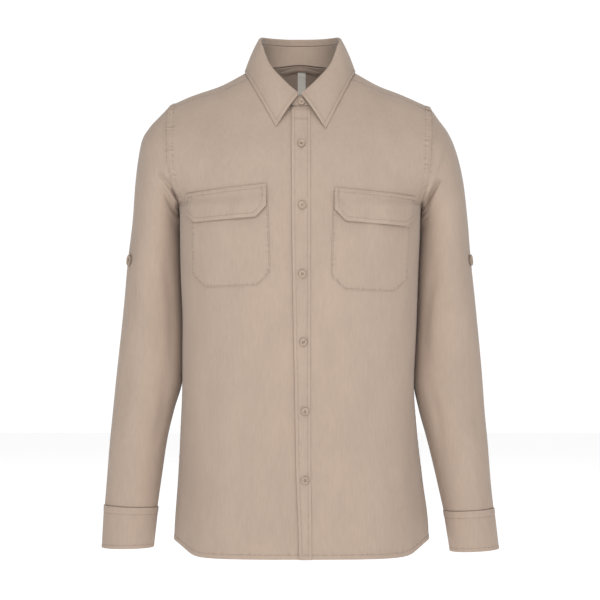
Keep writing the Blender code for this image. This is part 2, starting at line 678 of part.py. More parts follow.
ARMHOLE_SAMPLES = np.concatenate((
    spread(PLACE["front armpit"], RIDGE, 160),
    spread(RIDGE, PLACE["back armpit"], 160)[1:],
))


def armhole_shift(side, angle):
    """How far the real armhole lies from the first plain ring at an angle."""
    angles = armhole_angle(side, ARMHOLE_SAMPLES)
    angles[ARMHOLE_SAMPLES > RIDGE] = -np.abs(angles[ARMHOLE_SAMPLES > RIDGE])
    shift = body_point(side, 1.0, ARMHOLE_SAMPLES) - ring_point(side, angles, 0.0)
    order = np.argsort(angles)
    return np.stack([np.interp(angle, angles[order], shift[order, axis]) for axis in range(3)], axis=-1)


def sleeve_point(side, angle, ring):
    """A point of the sleeve's plain form, which starts at the armhole."""
    angle, ring = np.broadcast_arrays(np.asarray(angle, float), np.asarray(ring, float))
    wrapped = (angle + 180.0) % 360.0 - 180.0
    near = 1 - smooth(ring / SLEEVE_BLEND)
    return ring_point(side, wrapped, ring) + armhole_shift(side, wrapped) * near[..., None]


def sleeve_fold_depth(angle, ring):
    """How far the armpit creases press the cloth in."""
    wrapped = (angle + 180.0) % 360.0 - 180.0
    depth = np.zeros(np.broadcast(angle, ring).shape)
    for fold in SLEEVE_FOLDS:
        length = fold.end - fold.start
        along = np.clip((wrapped - fold.start) / length, 0, 1)
        fade = np.sin(np.pi * along) ** SLEEVE_FOLD_FADE
        depth = depth + fold.depth * fade * np.exp(-((ring - fold.ring) / fold.width) ** 2)
    return depth


def sleeve(side, angle, ring, lift=0.0):
    """A point of the sleeve's cloth moved out by lift, with the armpit creases pressed in."""
    angle, ring = np.broadcast_arrays(np.asarray(angle, float), np.asarray(ring, float))
    low = np.maximum(ring - 0.05, 0.0)
    high = np.minimum(ring + 0.05, len(SLEEVE_ROWS[side]) - 1.0)
    round_it = sleeve_point(side, angle + 1.0, ring) - sleeve_point(side, angle - 1.0, ring)
    along = sleeve_point(side, angle, high) - sleeve_point(side, angle, low)
    normal = unit(np.cross(round_it, along)) * side
    out = np.asarray(lift) - sleeve_fold_depth(angle, ring)
    return sleeve_point(side, angle, ring) + normal * out[..., None]


SLEEVE_RINGS = np.concatenate((
    [0, 0.5, 1.1, 1.8, 2.4, 2.8, 3.1, 3.4, 3.9, 4.5, 5.0, 5.5, 6.2],
    np.linspace(7, 14, 8),
))


def sleeve_angles(side):
    """The angles of a sleeve's columns, which meet the columns of the body's pieces at the armhole."""
    places = np.concatenate((FRONT_ARMHOLE, YOKE_ARMHOLE[1:], BACK_ARMHOLE[1:-1]))
    angles = armhole_angle(side, places)
    return np.where(places > RIDGE, -np.abs(angles), angles)


def sleeve_grid(side, lift):
    return sleeve(side, sleeve_angles(side)[None, :], SLEEVE_RINGS[:, None], lift)


def cuff_grid(side, lift):
    """The cuff's band, whose one end passes under the other."""
    top = SLEEVE_ROWS[side][-1]
    foot = CUFF_ROWS[side]
    angles = spread(CUFF_START, CUFF_START + 360 + CUFF_OVERLAP, CUFF_COUNT)
    under = 1 - smooth((angles - CUFF_START - CUFF_OVERLAP) / CUFF_UNDER_FADE)
    out = lift + CUFF_PROUD - under * (STIFF_WALL + SEAM)
    grid = []
    for share in CUFF_SHARES:
        frame = {name: getattr(top, name) * (1 - share) + getattr(foot, name) * share for name in top._fields}
        points = frame_point(frame, angles)
        round_it = frame_point(frame, angles + 1.0) - frame_point(frame, angles - 1.0)
        axis = np.array([foot.outer_x - top.outer_x, foot.middle_y - top.middle_y, foot.outer_z - top.outer_z])
        normal = unit(np.cross(round_it, axis)) * side
        grid.append(points + normal * out[:, None])
    return np.array(grid)


def vent_grid(side, lift):
    """A plain strip that closes the sleeve's vent above the cuff, at the back."""
    angles = spread(*VENT_ANGLES, 3)
    rings = spread(*VENT_RINGS, 5)
    return sleeve(side, angles[None, :], rings[:, None], lift)


# Collar
COLLAR_ANGLES = np.concatenate((
    NECK_ANGLES,
    spread(NECK_SEAM_ANGLE, YOKE_BACK_ANGLE, ARMHOLE_YOKE_COUNT)[1:],
    spread(YOKE_BACK_ANGLE, 180, 6)[1:],
))


def collar_ring(side, angle):
    """The top of the collar's fold at an angle from the centre front."""
    turn = np.radians(angle)
    x = side * COLLAR["half_width"](angle) * np.sin(turn)
    y = COLLAR["middle_y"](angle) - COLLAR["half_depth"](angle) * np.cos(turn)
    return np.stack(np.broadcast_arrays(x, y, COLLAR["top_z"](angle)), axis=-1)


def stand_point(side, angle, rise):
    """A point of the stand: rise is 0 at the neckline and 1 at its top edge."""
    foot = body_point(side, *neckline(angle))
    foot = foot + np.array([0.0, 0.0, STAND_GAP])
    top = collar_ring(side, angle)
    top[..., 2] -= COLLAR["rise"](angle)
    return foot + (top - foot) * np.asarray(rise)[..., None]


def outward(points, side, angle):
    """Level direction that points away from the neck's middle."""
    turn = np.radians(angle)
    x = side * np.sin(turn) / NECK_HALF_WIDTH
    y = -np.cos(turn) / NECK_HALF_DEPTH
    return unit(np.stack(np.broadcast_arrays(x, y, np.zeros_like(x)), axis=-1))


def around(half):
    """Joins a function's right and left halves into rows that run round the neck."""
    right = half(RIGHT)
    left = half(LEFT)
    return np.concatenate((right, left[:, ::-1][:, 1:]), axis=1)


def stand_half(side, lift):
    angles = np.concatenate((STAND_END_ANGLE * np.linspace(-1, 1, 5), COLLAR_ANGLES[1:]))
    rises = np.array([0.0, 0.5, 1.0])
    mirrored = np.abs(angles)
    out = np.full(angles.shape, float(lift))
    if side == RIGHT:
        out -= STAND_UNDER_DROP * (1 - smooth((angles - STAND_END_ANGLE) / STAND_UNDER_FADE))
    points = stand_point(side, mirrored[None, :], rises[:, None])
    points[..., 0] *= np.where(angles < 0, -1.0, 1.0)
    away = outward(points, side, mirrored)
    away[..., 0] *= np.where(angles < 0, -1.0, 1.0)
    return points + away[None] * out[..., None]


def stand_grid(lift):
    return around(lambda side: stand_half(side, lift))


def leaf_edge(side, angle):
    """Across and place of the fall's outer edge, which lies on the fronts and the yoke."""
    share = np.clip(angle / LEAF_SHOULDER_ANGLE, 0, 1)
    tip_x, tip_z = LEAF_TIP[side]
    x = tip_x + (side * LEAF_SHOULDER[0] - tip_x) * share
    z = tip_z + (LEAF_SHOULDER[1] - tip_z) * share
    front_across, front_at = front_place(side, x, z)
    turn = np.radians(np.maximum(angle, LEAF_SHOULDER_ANGLE))
    start = np.radians(LEAF_SHOULDER_ANGLE)
    join_across, join_at = front_place(side, np.array([side * LEAF_SHOULDER[0]]), np.array([LEAF_SHOULDER[1]]))
    front_reach = (RIDGE - join_at[0]) / math.cos(start)
    across_reach = join_across[0] / math.sin(start)
    back_reach = NECK_BACK - RIDGE + LEAF_BACK_DROP
    back_across = across_reach * np.sin(turn)
    back_at = RIDGE - np.where(np.cos(turn) > 0, front_reach, back_reach) * np.cos(turn)
    on_leaf = angle <= LEAF_SHOULDER_ANGLE
    return np.where(on_leaf, front_across, back_across), np.where(on_leaf, front_at, back_at)


def fall_profile(side, angle, step, lift):
    """The fall's section at an angle: up from the stand, round the fold and down to the outer edge."""
    ring = collar_ring(side, angle)
    away = outward(ring, side, angle)
    up = np.array([0.0, 0.0, 1.0])
    rise = COLLAR["rise"](angle)
    edge = body(side, *leaf_edge(side, angle), STIFF_WALL + SEAM)
    start = ring - up * (rise - SEAM)[..., None]
    fold_in = ring - up * FOLD_RADIUS
    fold_out = ring + away * 2 * FOLD_RADIUS - up * FOLD_RADIUS
    middle = ring + away * FOLD_RADIUS - up * FOLD_RADIUS
    if step <= 1:
        point = start + (fold_in - start) * step
        normal = -away
    elif step <= 2:
        turn = math.pi * (step - 1)
        normal = -away * math.cos(turn) + up * math.sin(turn)
        point = middle + normal * FOLD_RADIUS
    else:
        share = step - 2
        line = edge - fold_out
        sideways = unit(np.cross(np.cross(away, up), line))
        sideways = sideways * np.sign((sideways * away).sum(-1, keepdims=True))
        bow = LEAF_BOW * math.sin(math.pi * share ** LEAF_BOW_SKEW)
        point = fold_out + line * share + sideways * bow
        normal = sideways
    return point + normal * lift


FALL_STEPS = (0.0, 1.0, 1.34, 1.67, 2.0, 2.25, 2.5, 2.75, 3.0)


def fall_half(side, lift):
    angles = np.concatenate(([FALL_START_ANGLE], COLLAR_ANGLES[1:]))
    return np.array([fall_profile(side, angles, step, lift) for step in FALL_STEPS])


def fall_grid(lift):
    return around(lambda side: fall_half(side, lift))


# Pockets, flaps, placket and the pieces inside the neck
def patch_grid(side, patch, lift, rows, cols):
    """A four-sided patch with two cut corners, laid on the front."""
    width = math.dist(patch.foot_inner, patch.foot_outer)
    height = math.dist(patch.top_inner, patch.foot_inner)
    cut = patch.cut / width
    corners = [np.array(corner, float) for corner in patch[:4]]
    fine = np.linspace(0, 1, 41)
    line = corners[0] + (corners[1] - corners[0]) * fine[:, None]
    steps = np.linalg.norm(np.diff(on_front(side, line[:, 0], line[:, 1], 0.0), axis=0), axis=1)
    walked = np.concatenate(([0.0], np.cumsum(steps))) / steps.sum()
    even = np.linspace(cut, np.interp(1 - cut, fine, walked), cols - 1)
    shares = np.concatenate(([0.0], np.interp(even, walked, fine), [1.0]))
    grid = []
    for step in np.linspace(0, 1, rows + 1):
        line = []
        for share in shares:
            foot = 1 - (patch.cut / height if share in (0.0, 1.0) else 0.0)
            down = step * foot
            top = corners[0] + (corners[1] - corners[0]) * share
            bottom = corners[3] + (corners[2] - corners[3]) * share
            line.append(top + (bottom - top) * down)
        grid.append(line)
    grid = np.array(grid)
    steps = np.linspace(0, 1, rows + 1)[:, None]
    return on_front(side, grid[..., 0], grid[..., 1], lift(steps) if callable(lift) else lift)


def add_patch(name, side, patch, foot_lift, rows, cols, under):
    """Lays a patch on the front, with its lower edge lifted where it covers another piece."""
    def over(step):
        return SEAM + foot_lift * smooth(step / FLAP_LIFT_SHARE)

    outer = patch_grid(side, patch, lambda step: over(step) + WALL, rows, cols)
    inner = patch_grid(side, patch, over, rows, cols)
    gap = PATCH_GAP if len(under) == 1 else FLAP_GAP
    add_solid(name, settle((outer, inner), unit(outer - inner), under, gap=gap), CLOTH_COLOUR)


def placket_grid(lift):
    zs = np.concatenate((spread(PLACKET_FOOT_Z, PLACKET_TOP_Z, PLACKET_COUNT), [PLACKET_TIP_Z]))
    shares = np.linspace(0, 1, 4)
    left = PLACKET["left"](zs)
    right = PLACKET["right"](zs)
    x = right[:, None] + (left - right)[:, None] * shares[None, :]
    z = np.broadcast_to(zs[:, None], x.shape)
    return on_front(LEFT, x, z, lift)


def neck_strip(top_width, foot_width, middle_x, length, thickness, rows, cols):
    """Far and near grids of a strip that hangs inside the back neck."""
    grids = []
    for lift in (-WALL - SEAM - thickness, -WALL - SEAM):
        grid = []
        for step in np.linspace(0, 1, rows + 1):
            width = top_width + (foot_width - top_width) * step
            xs = middle_x + np.linspace(-width / 2, width / 2, cols + 1)
            place = NECK_BACK + STRIP_TOP + length * step
            grid.append([body(RIGHT if x < 0 else LEFT, abs(x) / RIDGE_ROW.right, place, lift) for x in xs])
        grids.append(np.array(grid))
    return grids


def add_button(name, centre, normal, diameter):
    """A turned button with a raised rim, set on a point of the cloth and facing along its normal."""
    scale = diameter / BUTTON_DIAMETER
    radius = diameter / 2
    segments = BUTTON_SEGMENTS
    normal = unit(np.asarray(normal, float))
    side = unit(np.cross(normal, np.array([0.0, 0.3, 1.0])))
    up = np.cross(side, normal)
    points = []
    faces = []
    for row in BUTTON_RINGS:
        for segment in range(segments):
            turn = 2 * math.pi * segment / segments
            spoke = side * math.cos(turn) + up * math.sin(turn)
            points.append(centre + spoke * radius * row.radius + normal * row.height * BUTTON_THICKNESS * scale)
    rings = len(BUTTON_RINGS)
    for ring in range(rings - 1):
        for segment in range(segments):
            after = (segment + 1) % segments
            low = ring * segments
            faces.append((low + segment, low + after, low + segments + after, low + segments + segment))
    faces.append(tuple(reversed(range(segments))))
    faces.append(tuple((rings - 1) * segments + segment for segment in range(segments)))
    add_mesh(name, points, faces, BUTTON_COLOUR)


def seat(centre, normal, diameter, names):
    """Where a button's back lies when it just clears the built pieces under it."""
    normal = unit(np.asarray(normal, float))
    side = unit(np.cross(normal, np.array([0.0, 0.3, 1.0])))
    up = np.cross(side, normal)
    proud = -PROBE
    for share in SEAT_SHARES:
        for turn in np.linspace(0, 2 * math.pi, 12, endpoint=False):
            spoke = side * math.cos(turn) + up * math.sin(turn)
            start = centre + spoke * share * diameter / 2 + normal * PROBE
            for name in names:
                hit = BUILT[name].ray_cast(start, -normal, 2 * PROBE)
                if hit[0] is not None:
                    proud = max(proud, PROBE - hit[3])
    return centre + normal * (proud + SEAM)


def add_front_buttons():
    for number, (x, z) in enumerate(FRONT_BUTTONS, 1):
        low = on_front(LEFT, x, z, 0.0)
        normal = on_front(LEFT, x, z, 1.0) - low
        centre = seat(low, normal, BUTTON_DIAMETER, ["placket", "front_left"])
        add_button(f"button_front_{number}", centre, normal, BUTTON_DIAMETER)
    foot, middle, top = stand_half(LEFT, 0.0)[:, 2]
    away = unit(np.cross(np.array([1.0, 0.0, 0.0]), top - foot))
    centre = middle + np.array([STAND_BUTTON_ACROSS, 0.0, 0.0]) - unit(top - foot) * STAND_BUTTON_DROP
    centre = seat(centre, away, STAND_BUTTON_DIAMETER, ["collar_stand", "placket"])
    add_button("button_stand", centre, away, STAND_BUTTON_DIAMETER)


def add_sleeve_buttons():
    for side, word in ((RIGHT, "right"), (LEFT, "left")):
        low = sleeve(side, SLEEVE_BUTTON_ANGLE[side], SLEEVE_BUTTON_RING, 0.0)
        normal = sleeve(side, SLEEVE_BUTTON_ANGLE[side], SLEEVE_BUTTON_RING, 1.0) - low
        centre = seat(low, normal, SLEEVE_BUTTON_DIAMETER, [f"sleeve_{word}"])
        add_button(f"button_sleeve_{word}", centre, normal, SLEEVE_BUTTON_DIAMETER)
        low = cuff_grid(side, 0.0)[1:3, -2].mean(axis=0)
        normal = cuff_grid(side, 1.0)[1:3, -2].mean(axis=0) - low
        centre = seat(low, normal, CUFF_BUTTON_DIAMETER, [f"cuff_{word}"])
        add_button(f"button_cuff_{word}", centre, normal, CUFF_BUTTON_DIAMETER)


def build():
    for old in list(bpy.data.objects):
        bpy.data.objects.remove(old, do_unlink=True)
    for side, word in ((RIGHT, "right"), (LEFT, "left")):
        add_solid(f"front_{word}", walls(lambda lift: front_grid(side, lift), WALL), CLOTH_COLOUR)
        add_solid(f"sleeve_{word}", walls(lambda lift: sleeve_grid(side, lift), WALL, True), CLOTH_COLOUR, True)
        cuff = (cuff_grid(side, 0.0), cuff_grid(side, -STIFF_WALL))
        add_solid(f"cuff_{word}", cuff, CLOTH_COLOUR)
        vent = (vent_grid(side, SEAM + WALL), vent_grid(side, SEAM))
        vent = settle(vent, unit(vent[0] - vent[1]), [f"sleeve_{word}"])
        add_solid(f"sleeve_placket_{word}", vent, CLOTH_COLOUR)
        front = f"front_{word}"
        add_patch(f"pocket_{word}", side, POCKETS[side], 0.0, 10, 11, [front])
        add_patch(f"flap_{word}", side, FLAPS[side], FLAP_LIFT, 5, 12, [front, f"pocket_{word}"])
    add_solid("yoke", walls(yoke_grid, WALL), CLOTH_COLOUR)
    add_solid("back", walls(back_grid, WALL), CLOTH_COLOUR)
    placket = (placket_grid(SEAM + WALL), placket_grid(SEAM))
    placket = settle(placket, unit(placket[0] - placket[1]), ["front_left", "front_right"])
    add_solid("placket", placket, CLOTH_COLOUR)
    add_solid("collar_stand", (stand_grid(0.0), stand_grid(-STIFF_WALL)), CLOTH_COLOUR)
    fall = (fall_grid(0.0), fall_grid(-STIFF_WALL))
    below = ["front_left", "front_right", "placket", "yoke", "collar_stand"]
    fall = settle(fall, unit(fall[0] - fall[1]), below, slice(FALL_STEPS.index(2.25), None))
    add_solid("collar_fall", fall, CLOTH_COLOUR)
    for name, width, foot, length, wall, rows, cols, colour, under in NECK_STRIPS:
        strip = neck_strip(width, foot, 0.0 if foot < width else LABEL_MIDDLE_X, length, wall, rows, cols)
        strip = settle(strip, unit(strip[0] - strip[1]), under)
        add_solid(name, strip, colour)
    add_front_buttons()
    add_sleeve_buttons()


build()
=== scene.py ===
"""Looks of the safari shirt: fine cloth with its seams, stitches and creases in place of the plain solids.

Sizes in the tables are in millimetres, as in a shirt's cut, and become metres when a mesh is made. The front
faces -Y, the wearer's left arm is at +X, and the shape is worked out from the same sizes as the solids.
"""
import math
from collections import namedtuple

import bpy
import numpy as np
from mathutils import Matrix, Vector
from mathutils.bvhtree import BVHTree


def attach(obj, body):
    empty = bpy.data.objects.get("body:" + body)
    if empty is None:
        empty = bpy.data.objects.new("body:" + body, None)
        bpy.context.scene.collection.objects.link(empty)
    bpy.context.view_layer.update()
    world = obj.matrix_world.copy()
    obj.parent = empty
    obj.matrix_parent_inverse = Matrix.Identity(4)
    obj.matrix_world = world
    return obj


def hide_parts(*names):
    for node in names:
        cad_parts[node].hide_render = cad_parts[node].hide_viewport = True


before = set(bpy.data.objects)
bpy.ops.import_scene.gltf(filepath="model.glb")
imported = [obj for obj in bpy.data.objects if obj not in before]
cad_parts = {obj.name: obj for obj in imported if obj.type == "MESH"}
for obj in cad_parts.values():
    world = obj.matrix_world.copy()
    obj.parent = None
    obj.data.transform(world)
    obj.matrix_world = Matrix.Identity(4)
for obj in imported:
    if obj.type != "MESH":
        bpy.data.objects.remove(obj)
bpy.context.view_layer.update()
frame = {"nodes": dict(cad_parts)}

MM = 0.001

# Cloth, in millimetres
WALL = 1.2
STIFF_WALL = 1.6
LABEL_WALL = 0.5
SEAM = 0.3
RIGHT = -1
LEFT = 1

# The body, as sections that run from the centre line to the side or the armhole. They follow one
# another from the front hem over the shoulder ridge to the back hem. wrap is the angle by which a
# section turns from the front towards the side, and flare is how far the side stands out of the front
BodyRow = namedtuple("BodyRow", "place centre_y centre_z right left edge_y edge_z wrap square flare")
BODY_ROWS = (
    BodyRow("under the front hem", -133, -770, 196.0, 200.0, 10, -770, 90, 3.0, 13),
    BodyRow("front hem", -133, -700, 194.0, 198.8, 10, -700, 90, 3.0, 13),
    BodyRow("front hip", -131, -620, 188.5, 189.4, 8, -620, 90, 2.9, 12),
    BodyRow("front low waist", -128, -545, 184.5, 180.4, 4, -545, 90, 2.7, 4),
    BodyRow("front waist", -127, -480, 182.0, 176.0, 0, -480, 90, 2.5, 0),
    BodyRow("front ribs", -132, -390, 182.0, 180.0, 0, -390, 90, 2.45, 0),
    BodyRow("front low chest", -137, -300, 184.5, 183.0, 0, -300, 90, 2.4, 0),
    BodyRow("front chest", -137, -240, 185.5, 185.5, 0, -240, 90, 2.55, 0),
    BodyRow("front armpit", -135, -203, 186.0, 186.5, 0, -203, 90, 2.6, 0),
    BodyRow("front armhole foot", -132, -178, 187.0, 187.5, -38, -190, 72, 2.55, 0),
    BodyRow("front armhole bend", -127, -148, 195.0, 194.0, -60, -168, 60, 2.4, 0),
    BodyRow("front armhole middle", -119, -115, 201.5, 198.5, -67, -140, 53, 2.2, 0),
    BodyRow("front armhole top", -103, -80, 203.5, 200.5, -60, -106, 50, 2.1, 0),
    BodyRow("front shoulder", -80, -38, 204.0, 202.0, -43, -78, 48, 2.0, 0),
    BodyRow("front yoke seam", -36, 20, 203.0, 202.5, -20, -56, 48, 2.0, 0),
    BodyRow("shoulder ridge", 0, 39, 201.5, 202.0, 4, -49, 48, 2.0, 0),
    BodyRow("back shoulder", 36, 32, 200.5, 201.0, 28, -56, 48, 2.0, 0),
    BodyRow("back armhole top", 66, 4, 198.0, 198.5, 52, -77, 50, 2.1, 0),
    BodyRow("back armhole middle", 92, -46, 194.0, 194.5, 68, -104, 54, 2.2, 0),
    BodyRow("back yoke seam", 111, -106, 190.0, 190.5, 72, -130, 58, 2.25, 0),
    BodyRow("back armhole bend", 120, -146, 187.0, 187.5, 62, -162, 62, 2.3, 0),
    BodyRow("back armhole foot", 126, -177, 186.0, 186.5, 38, -190, 72, 2.35, 0),
    BodyRow("back armpit", 129, -203, 186.0, 186.5, 0, -203, 90, 2.35, 0),
    BodyRow("back chest", 131, -240, 185.5, 185.5, 0, -240, 90, 2.4, 0),
    BodyRow("back low chest", 129, -300, 184.5, 183.0, 0, -300, 90, 2.4, 0),
    BodyRow("back ribs", 121, -390, 182.0, 180.0, 0, -390, 90, 2.4, 0),
    BodyRow("back waist", 114, -480, 182.0, 176.0, 0, -480, 90, 2.4, 0),
    BodyRow("back low waist", 115, -545, 184.5, 180.4, 4, -545, 90, 2.4, 0),
    BodyRow("back hip", 121, -620, 188.5, 189.4, 8, -620, 90, 2.4, 0),
    BodyRow("back hem", 127, -700, 194.0, 198.8, 10, -700, 90, 2.4, 0),
    BodyRow("under the back hem", 130, -770, 196.0, 200.0, 10, -770, 90, 2.4, 0),
)
RIDGE_ROW = next(row for row in BODY_ROWS if row.place == "shoulder ridge")
FRONT_HALF_WIDTH = 186.0
FLARE_START_Y = -74.0
FLARE_LENGTH = 66.0
CENTRE_ROUND = 0.12
SHOULDER_RISE = {RIGHT: 4.2, LEFT: 0.8}
SHOULDER_RISE_WIDTH = 0.35
SHOULDER_DIP = 4.0
SHOULDER_DIP_ACROSS = 0.58
SHOULDER_DIP_WIDTH = 0.17
SHOULDER_DIP_REACH = 60.0

# The shirt-tail hem
HEM_SIDE_Z = -714.5
HEM_FRONT_Z = -735.2
HEM_BACK_Z = -744.0
HEM_CURVE = 19
LEVEL_ABOVE_HEM_Z = -690.0

# The neckline and the collar
NECK_HALF_WIDTH = 70.0
NECK_HALF_DEPTH = 75.0
NECK_FRONT_Z = -52.0
NECK_BACK_Z = 22.0

# The collar, by the angle from the centre front. top_z is the fold's height, and rise is how far the
# fall's inner side shows above the stand
CollarRow = namedtuple("CollarRow", "angle half_width middle_y half_depth top_z rise")
COLLAR_ROWS = (
    CollarRow(0, 60, -12, 70, -32.5, 4),
    CollarRow(12, 60, -12, 70, -22, 4.2),
    CollarRow(24, 60, -12, 70, -10, 4.8),
    CollarRow(40, 60, -12, 70, 6, 6),
    CollarRow(50, 60, -12, 70, 17, 7),
    CollarRow(60, 60, -12, 70, 31, 8.5),
    CollarRow(72, 60, -12, 70, 47, 10),
    CollarRow(90, 60, -12, 70, 57, 11),
    CollarRow(115, 60, -12, 70, 63, 11.5),
    CollarRow(180, 60, -12, 70, 64, 11.5),
)
FALL_START_ANGLE = 1.6
FOLD_RADIUS = 2.4
LEAF_TIP = {RIGHT: (-35.0, -86.5), LEFT: (37.5, -90.0)}
LEAF_SHOULDER = (82.5, 0.0)
LEAF_SHOULDER_ANGLE = 75.0
LEAF_BACK_DROP = 13.0
LEAF_BOW = 5.0
LEAF_BOW_SKEW = 0.8
STAND_GAP = 0.55
STAND_END_ANGLE = 11.0
STAND_UNDER_DROP = 2.4
STAND_UNDER_FADE = 16.0

# The sleeves, as rings from the armhole to the cuff
SleeveRow = namedtuple("SleeveRow", "outer_x outer_z inner_x inner_z middle_y front back square")
SLEEVE_ROWS = {
    RIGHT: (
        SleeveRow(-201.5, -45.0, -186.0, -203.0, 4, 70, 72, 2.1),
        SleeveRow(-217.0, -60.0, -188.0, -207.0, 6, 69, 72, 2.1),
        SleeveRow(-232.5, -77.0, -189.0, -211.0, 9, 69, 71, 2.1),
        SleeveRow(-245.0, -97.6, -189.3, -217.0, 13, 68, 70, 2.1),
        SleeveRow(-251.5, -128.6, -188.8, -225.0, 17, 68, 70, 2.1),
        SleeveRow(-256.5, -167.4, -187.2, -237.0, 22, 68, 69, 2.15),
        SleeveRow(-261.0, -221.6, -185.7, -257.0, 27, 68, 68, 2.2),
        SleeveRow(-268.2, -283.6, -184.6, -296.0, 30, 67, 66, 2.2),
        SleeveRow(-274.0, -345.6, -183.0, -350.0, 30, 65, 64, 2.2),
        SleeveRow(-281.6, -423.0, -181.5, -424.0, 27, 60, 59, 2.2),
        SleeveRow(-286.2, -469.7, -183.4, -469.7, 21, 57, 56, 2.15),
        SleeveRow(-290.4, -516.0, -195.5, -516.0, 13, 54, 53, 2.1),
        SleeveRow(-294.5, -562.7, -206.0, -562.7, 4, 51, 50, 2.1),
        SleeveRow(-299.0, -624.7, -214.5, -626.0, -6, 46, 46, 2.05),
        SleeveRow(-301.8, -661.0, -219.5, -664.0, -12, 41, 41, 2.0),
    ),
    LEFT: (
        SleeveRow(202.0, -49.0, 186.5, -203.0, 4, 70, 72, 2.1),
        SleeveRow(214.0, -66.4, 188.5, -207.0, 6, 69, 72, 2.1),
        SleeveRow(226.5, -81.7, 189.5, -211.0, 9, 69, 71, 2.1),
        SleeveRow(236.0, -97.6, 189.5, -217.0, 13, 68, 70, 2.1),
        SleeveRow(246.0, -125.0, 189.0, -225.0, 17, 68, 70, 2.1),
        SleeveRow(254.5, -163.0, 187.4, -237.0, 22, 68, 69, 2.15),
        SleeveRow(261.3, -221.6, 185.4, -257.0, 27, 68, 68, 2.2),
        SleeveRow(266.6, -283.6, 183.0, -296.0, 30, 67, 66, 2.2),
        SleeveRow(272.8, -345.6, 181.4, -350.0, 30, 65, 64, 2.2),
        SleeveRow(280.0, -423.0, 178.2, -424.0, 27, 60, 59, 2.2),
        SleeveRow(283.8, -469.7, 176.8, -469.7, 21, 57, 56, 2.15),
        SleeveRow(286.8, -516.0, 185.0, -516.0, 13, 54, 53, 2.1),
        SleeveRow(290.6, -562.7, 197.3, -562.7, 4, 51, 50, 2.1),
        SleeveRow(294.8, -624.7, 212.0, -624.7, -6, 46, 46, 2.05),
        SleeveRow(299.2, -666.0, 222.0, -670.0, -12, 41, 41, 2.0),
    ),
}
SLEEVE_BLEND = 3.0
INNER_SEAM_ANGLE = 164.0
INNER_SEAM_RADIUS = 48.0
PROBE = 14.0

# The cuffs run on from the last sleeve ring to this one
CUFF_ROWS = {
    RIGHT: SleeveRow(-305.2, -727.0, -226.2, -726.0, -17, 39, 39, 2.0),
    LEFT: SleeveRow(306.2, -729.0, 231.8, -732.5, -17, 39, 39, 2.0),
}
CUFF_PROUD = 0.9
CUFF_START = -128.0
CUFF_OVERLAP = 34.0
CUFF_UNDER_FADE = 14.0
CUFF_SHARES = (0.006, 0.35, 0.7, 1.0)

# The plain strips that close the sleeve vents, by angle and ring
VENT_ANGLES = (-62.0, -36.0)
VENT_RINGS = (11.6, 13.9)

# The creases in the front and back of each armpit: ring and width say where a crease lies along the
# sleeve, and start and end are its angles round the sleeve
SleeveFold = namedtuple("SleeveFold", "ring width depth start end")
SLEEVE_FOLDS = (
    SleeveFold(3.1, 0.62, 9.0, 84, 178),
    SleeveFold(5.0, 0.45, 4.0, 128, 176),
    SleeveFold(3.3, 0.60, 8.0, -178, -92),
    SleeveFold(5.2, 0.45, 4.0, -176, -132),
)
SLEEVE_FOLD_FADE = 0.7

# What is sewn on the fronts, by its corners on the cloth as seen from the front
Patch = namedtuple("Patch", "top_inner top_outer foot_outer foot_inner cut")
POCKETS = {
    RIGHT: Patch((-48.5, -176), (-165, -186), (-162, -328), (-43.5, -323), 20),
    LEFT: Patch((49.5, -182), (168, -190), (162, -334), (46.0, -329), 20),
}
FLAPS = {
    RIGHT: Patch((-50.0, -170.5), (-173, -183.5), (-172, -229), (-50.0, -220), 15.5),
    LEFT: Patch((51.5, -176.5), (174.5, -187.5), (173, -235), (51.5, -226), 15.5),
}
FLAP_DROOP = 6.0

# The placket strip, by height
PlacketRow = namedtuple("PlacketRow", "z right left")
PLACKET_ROWS = (
    PlacketRow(-54, -13.0, 16.0),
    PlacketRow(-200, -12.5, 16.0),
    PlacketRow(-346, -10.5, 16.0),
    PlacketRow(-480, -8.0, 16.0),
    PlacketRow(-600, -6.0, 16.5),
    PlacketRow(-680, -3.0, 17.5),
    PlacketRow(-745, -1.0, 18.0),
)
PLACKET_FOOT_Z = -735.5
PLACKET_TIP_Z = -57.0
PLACKET_MARGIN = 0.6
PLACKET_CROSS_Z = -72.2
UNDERLAP = 13.0
UNDER_DROP = 2.0
UNDER_START = -36.0
UNDER_LENGTH = 19.0

# Buttons
BUTTON_DIAMETER = 12.7
BUTTON_THICKNESS = 2.6
SLEEVE_BUTTON_DIAMETER = 18.0
CUFF_BUTTON_DIAMETER = 11.5
FRONT_BUTTONS = ((2.1, -110.7), (3.2, -203.4), (3.6, -306.4), (5.1, -408.7), (7.4, -513.0), (7.5, -616.5))
STAND_BUTTON_ACROSS = 2.2
STAND_BUTTON_DROP = 1.6
STAND_BUTTON_DIAMETER = 11.6
SLEEVE_BUTTON_RING = 7.0
SLEEVE_BUTTON_ANGLE = {RIGHT: 30.0, LEFT: 22.0}

# Inside the back neck
STRIP_TOP = 1.8
LABEL_MIDDLE_X = 2.7

# The yoke
YOKE_BACK_ANGLE = 112.0


# The strips that hang inside the back neck, each on the ones before it
NeckStrip = namedtuple("NeckStrip", "name width foot length wall")
NECK_STRIPS = (
    NeckStrip("care_label", 13.0, 13.0, 48.0, LABEL_WALL),
    NeckStrip("size_label", 13.2, 13.2, 15.0, LABEL_WALL),
    NeckStrip("hanger_loop", 61.0, 49.0, 7.5, 1.0),
)

